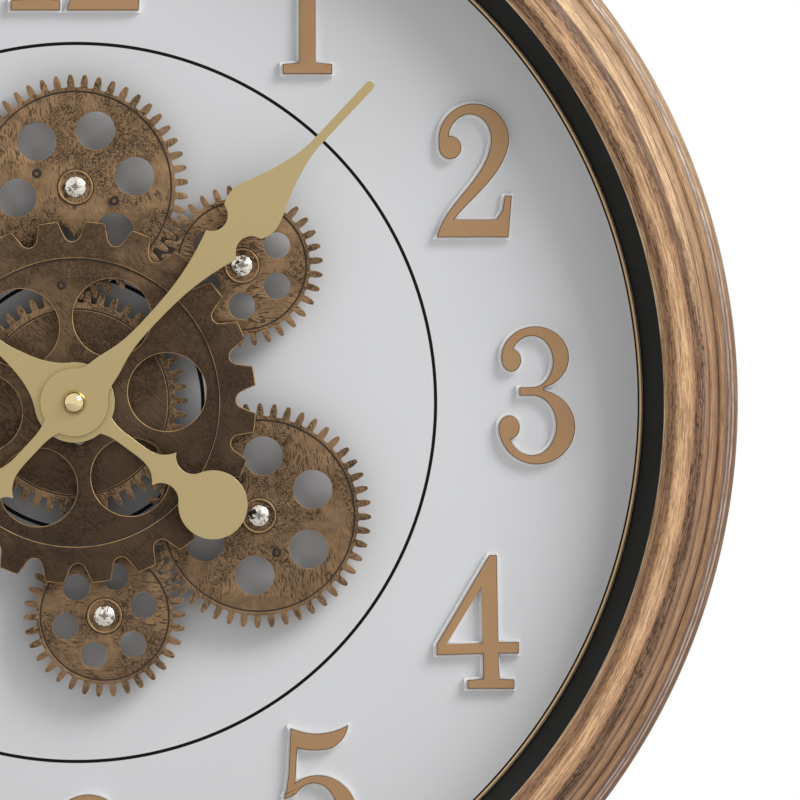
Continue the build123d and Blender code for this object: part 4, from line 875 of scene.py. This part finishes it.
class CLOCK_OT_gears(bpy.types.Operator):
    """Builds the sun gear and the six satellites"""

    bl_idname = "clock.gears"
    bl_label = "Show gears"

    def execute(self, context):
        sun_phase = 1.0
        orbit = (SUN_TEETH + LARGE_TEETH) * MODULE / 2
        spacing = (LARGE_TEETH + SMALL_TEETH) * MODULE / 2
        lag = degrees(acos(1 - spacing**2 / (2 * orbit**2)))
        directions = (90.0, -31.7, -150.0)
        large_turns, large_marks, small_turns = (10.5, 26.0, 41.0), (-30.0, -90.0, -30.0), (30.0, 15.0, 0.0)
        rows = zip(directions, large_turns, large_marks, small_turns)
        for number, (angle, turn, mark, small_turn) in enumerate(rows, 1):
            place = polar(orbit, angle)
            phase = mesh_phase(SUN_TEETH, sun_phase, LARGE_TEETH, angle)
            mark += turn
            satellite(f"large_gear_{number}", LARGE_TEETH, phase, place, hole_r=8.7, hole_orbit=26.7, hole_angle=turn,
                      marks=(mark, mark + 180), mark_orbit=18.3)
            beside = polar(orbit, angle - lag)
            aim = degrees(np.arctan2(beside[1] - place[1], beside[0] - place[0]))
            small_phase = mesh_phase(LARGE_TEETH, phase, SMALL_TEETH, aim)
            satellite(f"small_gear_{number}", SMALL_TEETH, small_phase, beside, hole_r=5.9, hole_orbit=18.0,
                      hole_angle=small_turn, marks=(small_turn + 90,), mark_orbit=18.0)
        bore, rim_r, floor_r, web_r = SUN_BORE, 42.0, 43.0, 41.2
        rim = plate([tooth_outline(SUN_TEETH, sun_phase), circle(rim_r, 160)], GEAR_BACK, GEAR_FRONT, TOOTH_EDGE)
        floor = plate([circle(floor_r, 160), circle(bore, 80)], GEAR_BACK + 0.1, GEAR_FRONT - 0.5, 0.1)
        web = plate([circle(web_r, 160), circle(bore, 80)], GEAR_BACK, GEAR_FRONT, 0.25)
        boss = lathe([(bore, 31.3), (14.0, 31.3), (14.0, 36.2), (bore, 36.2)], 96)
        hub = lathe([(bore, 40.8), (20.0, 40.8), (20.0, 43.0), (12.0, 43.0), (12.0, 47.7), (bore, 47.7)], 96)
        piece("sun_gear_dressed", [rim, floor, boss, hub], "train", "gear_bronze", ["sun_gear"])
        piece("sun_gear_web", [web], "train", "wheel_bronze")
        # Painted shade: a dark ring in the corner between the sun gear's rim and its web
        piece("sun_gear_shade_ring", [shade_ring(41.3, 41.9, GEAR_FRONT - 0.5)], "train", "bronze_marks_and_shade")
        return {"FINISHED"}


class CLOCK_OT_front_wheel(bpy.types.Operator):
    """Builds the coarse front wheel"""

    bl_idname = "clock.front_wheel"
    bl_label = "Front wheel"

    def execute(self, context):
        teeth, first_tooth, window_turn = 24, 8.5, 6.5
        tip_r, foot_r, floor_r = 80.7, 73.8, 71.7
        rim_r, web_r, edge = 64.2, 64.7, 0.5
        step = 2 * pi / teeth
        tip_half, foot_half = 4.25 / tip_r, 6.4 / foot_r
        tip = np.linspace(-tip_half, tip_half, 7)
        near, far = foot_half, step - foot_half
        gullet = arc((foot_r * cos(near), foot_r * sin(near)), (floor_r * cos(step / 2), floor_r * sin(step / 2)),
                     (foot_r * cos(far), foot_r * sin(far)), 12)
        radii = np.concatenate([np.full(len(tip), tip_r), np.hypot(gullet[:, 0], gullet[:, 1])])
        angles = np.concatenate([tip, np.arctan2(gullet[:, 1], gullet[:, 0])])
        turns = (radians(first_tooth) + step * np.arange(teeth))[:, None] + angles[None, :]
        outline = np.stack([radii * np.cos(turns), radii * np.sin(turns)], axis=-1).reshape(-1, 2)
        rim = plate([outline, circle(rim_r, 200)], WHEEL_BACK, WHEEL_FRONT, edge)
        windows = [circle(17.4, 96, polar(41.2, window_turn + 60 * k)) for k in range(6)]
        screws = [circle(2.83, 32, polar(16.0, window_turn + 30 + 120 * k)) for k in range(3)]
        web = plate([circle(web_r, 200), circle(WHEEL_BORE, 96), *windows, *screws], WHEEL_BACK, WHEEL_WEB, edge)
        piece("front_wheel", [rim, web], "train", "wheel_bronze", ["main_wheel"])
        # The stud mark, and a ring of painted shade in the corner inside the rim
        lines = [*stud(WHEEL_WEB, polar(52.6, window_turn + 90)), shade_ring(63.2, 63.9, WHEEL_WEB)]
        piece("front_wheel_marks_and_shade", lines, "train", "bronze_marks_and_shade")
        coat("white_acetal", "drive_wheel")
        return {"FINISHED"}


class CLOCK_OT_hands(bpy.types.Operator):
    """Builds the hands, their arbors and the domed nut"""

    bl_idname = "clock.hands"
    bl_label = "Hands"

    def execute(self, context):
        softened("hour_hand", "hour", "hand_gold", 0.0002)
        softened("minute_hand", "minute", "hand_gold", 0.0002)
        nut_r, back, top = 5.4, 56.8, 61.8
        dome = arc((nut_r, 58.2), (3.3, 60.78), (0.0, top), 16)
        nut = np.concatenate([[(0.0, back), (5.1, back), (nut_r, 57.1)], dome])
        piece("domed_nut", [lathe(nut, 64, closed=False)], "minute", "polished_brass", ["hand_nut"])
        coat("polished_brass", "minute_arbor")
        coat("white_acetal", "hour_wheel")
        return {"FINISHED"}


class CLOCK_OT_fasteners(bpy.types.Operator):
    """Finishes the posts, screws, nuts, clips and the hanger"""

    bl_idname = "clock.fasteners"
    bl_label = "Fasteners"

    def execute(self, context):
        softened("gear_screws", "root", "bright_screw", 0.00014)
        coat("bright_screw", "centre_screws", "wheel_screws", "clip_screws", "hanger_screws", "motor_screws",
             "cover_screws")
        coat("zinc_steel", "gear_posts", "post_nuts", "centre_post", "retaining_washer")
        softened("hanger_plate", "root", "zinc_steel", 0.00015)
        softened("dial_clips", "root", "zinc_steel", 0.0002)
        coat("polished_brass", "movement_nut")
        return {"FINISHED"}


class CLOCK_OT_drives(bpy.types.Operator):
    """Finishes the gear motor and the movement behind the dial"""

    bl_idname = "clock.drives"
    bl_label = "Drives"

    def execute(self, context):
        for node, body, edge in (("motor_case", "root", 0.0004), ("motor_cover", "root", 0.0003),
                                 ("movement_case", "root", 0.0003), ("movement_cover", "root", 0.0003),
                                 ("motor_switch", "switch", 0.0002), ("setting_knob", "setting", 0.0002)):
            softened(node, body, "black_plastic", edge)
        coat("white_acetal", "motor_pinion", "minute_wheel")
        coat("motor_can", "gear_motor")
        coat("cell_wrap", "motor_cells", "movement_cell")
        coat("coil_copper", "movement_coil")
        coat("board_green", "movement_board")
        return {"FINISHED"}


class CLOCK_OT_stage(bpy.types.Operator):
    """Sets the camera, the soft lamp, the pale floor and the white surround"""

    bl_idname = "clock.stage"
    bl_label = "Stage"

    def execute(self, context):
        scene = context.scene
        stage = scene.clock_stage
        scene.view_settings.view_transform = "Standard"
        camera = bpy.data.cameras.new("camera")
        camera.sensor_width = 36.0
        camera.lens = camera.sensor_width * (stage.distance - GEAR_FRONT * MM) / stage.view_width
        camera.clip_end = 100.0
        eye = bpy.data.objects.new("camera", camera)
        eye.location = (stage.view_x, -stage.distance, stage.view_z)
        eye.rotation_euler = (radians(90), 0, 0)
        scene.collection.objects.link(eye)
        scene.camera = eye
        self.lamp("key", place=(1.65, -1.25, 1.45), power=stage.key, size=1.15)
        self.floor()
        self.surround(stage.ambient)
        return {"FINISHED"}

    def lamp(self, name, place, power, size):
        """A square soft lamp that faces the clock."""
        light = bpy.data.lights.new(name, "AREA")
        light.energy = power
        light.size = size
        item = bpy.data.objects.new(name, light)
        item.location = place
        aim = -item.location
        item.rotation_euler = aim.to_track_quat("-Z", "Y").to_euler()
        bpy.context.scene.collection.objects.link(item)

    def floor(self):
        """A square pale floor a little below the clock."""
        half, low = 1.6, CAD_BOX[0][2] - 0.02
        corners = np.array([(-half, -half, low), (half, -half, low), (half, half, low), (-half, half, low)])
        mesh = bpy.data.meshes.new("floor")
        mesh.from_pydata(corners, [], [[0, 1, 2, 3]])
        item = bpy.data.objects.new("floor", mesh)
        tree, shader = bare("floor_paint")
        cloud = noise(tree, place_of(tree), 3.0)
        colour = blend(tree, cloud, srgb(236, 236, 236), srgb(242, 242, 242))
        feed(tree, shader, {"Base Color": colour, "Roughness": 0.8})
        mesh.materials.append(finish_named("floor_paint"))
        bpy.context.scene.collection.objects.link(item)

    def surround(self, ambient):
        """White to the camera and in reflections, a softer grey as light."""
        world = bpy.data.worlds.new("surround")
        world.use_nodes = True
        bpy.context.scene.world = world
        tree = world.node_tree
        path = join(tree, "LightPath").outputs
        seen = most(tree, path["Is Camera Ray"], path["Is Glossy Ray"], path["Is Transmission Ray"])
        strength = join(tree, "MapRange", {"Value": seen, "To Min": ambient, "To Max": 1.0}).outputs["Result"]
        feed(tree, tree.nodes["Background"], {"Color": (1.0, 1.0, 1.0, 1.0), "Strength": strength})


class CLOCK_PT_panel(bpy.types.Panel):
    """Lists the steps that dress the clock"""

    bl_idname = "CLOCK_PT_panel"
    bl_label = "Gear wall clock"
    bl_space_type = "VIEW_3D"
    bl_region_type = "UI"
    bl_category = "Clock"

    def draw(self, context):
        for step in STEPS:
            self.layout.operator(step.bl_idname)
        for settings in (context.scene.clock_sizes, context.scene.clock_colours, context.scene.clock_stage):
            for name in settings.bl_rna.properties.keys():
                if name not in {"name", "rna_type"}:
                    self.layout.prop(settings, name)


STEPS = (CLOCK_OT_finishes, CLOCK_OT_frame_ring, CLOCK_OT_liner, CLOCK_OT_dial, CLOCK_OT_gears, CLOCK_OT_front_wheel,
         CLOCK_OT_hands, CLOCK_OT_fasteners, CLOCK_OT_drives, CLOCK_OT_stage)
CLASSES = (ClockSizes, ClockColours, StageSettings, *STEPS, CLOCK_PT_panel)


def register():
    """Registers the classes and gives the scene its settings."""
    for item in CLASSES:
        bpy.utils.register_class(item)
    bpy.types.Scene.clock_sizes = PointerProperty(type=ClockSizes)
    bpy.types.Scene.clock_colours = PointerProperty(type=ClockColours)
    bpy.types.Scene.clock_stage = PointerProperty(type=StageSettings)


def unregister():
    """Takes the settings and the classes away again."""
    del bpy.types.Scene.clock_stage
    del bpy.types.Scene.clock_colours
    del bpy.types.Scene.clock_sizes
    for item in reversed(CLASSES):
        bpy.utils.unregister_class(item)


def main():
    """Builds the clock step by step."""
    register()
    bpy.ops.clock.finishes()
    bpy.ops.clock.frame_ring()
    bpy.ops.clock.liner()
    bpy.ops.clock.dial()
    bpy.ops.clock.gears()
    bpy.ops.clock.front_wheel()
    bpy.ops.clock.hands()
    bpy.ops.clock.fasteners()
    bpy.ops.clock.drives()
    bpy.ops.clock.stage()


if __name__ == "__main__":
    main()
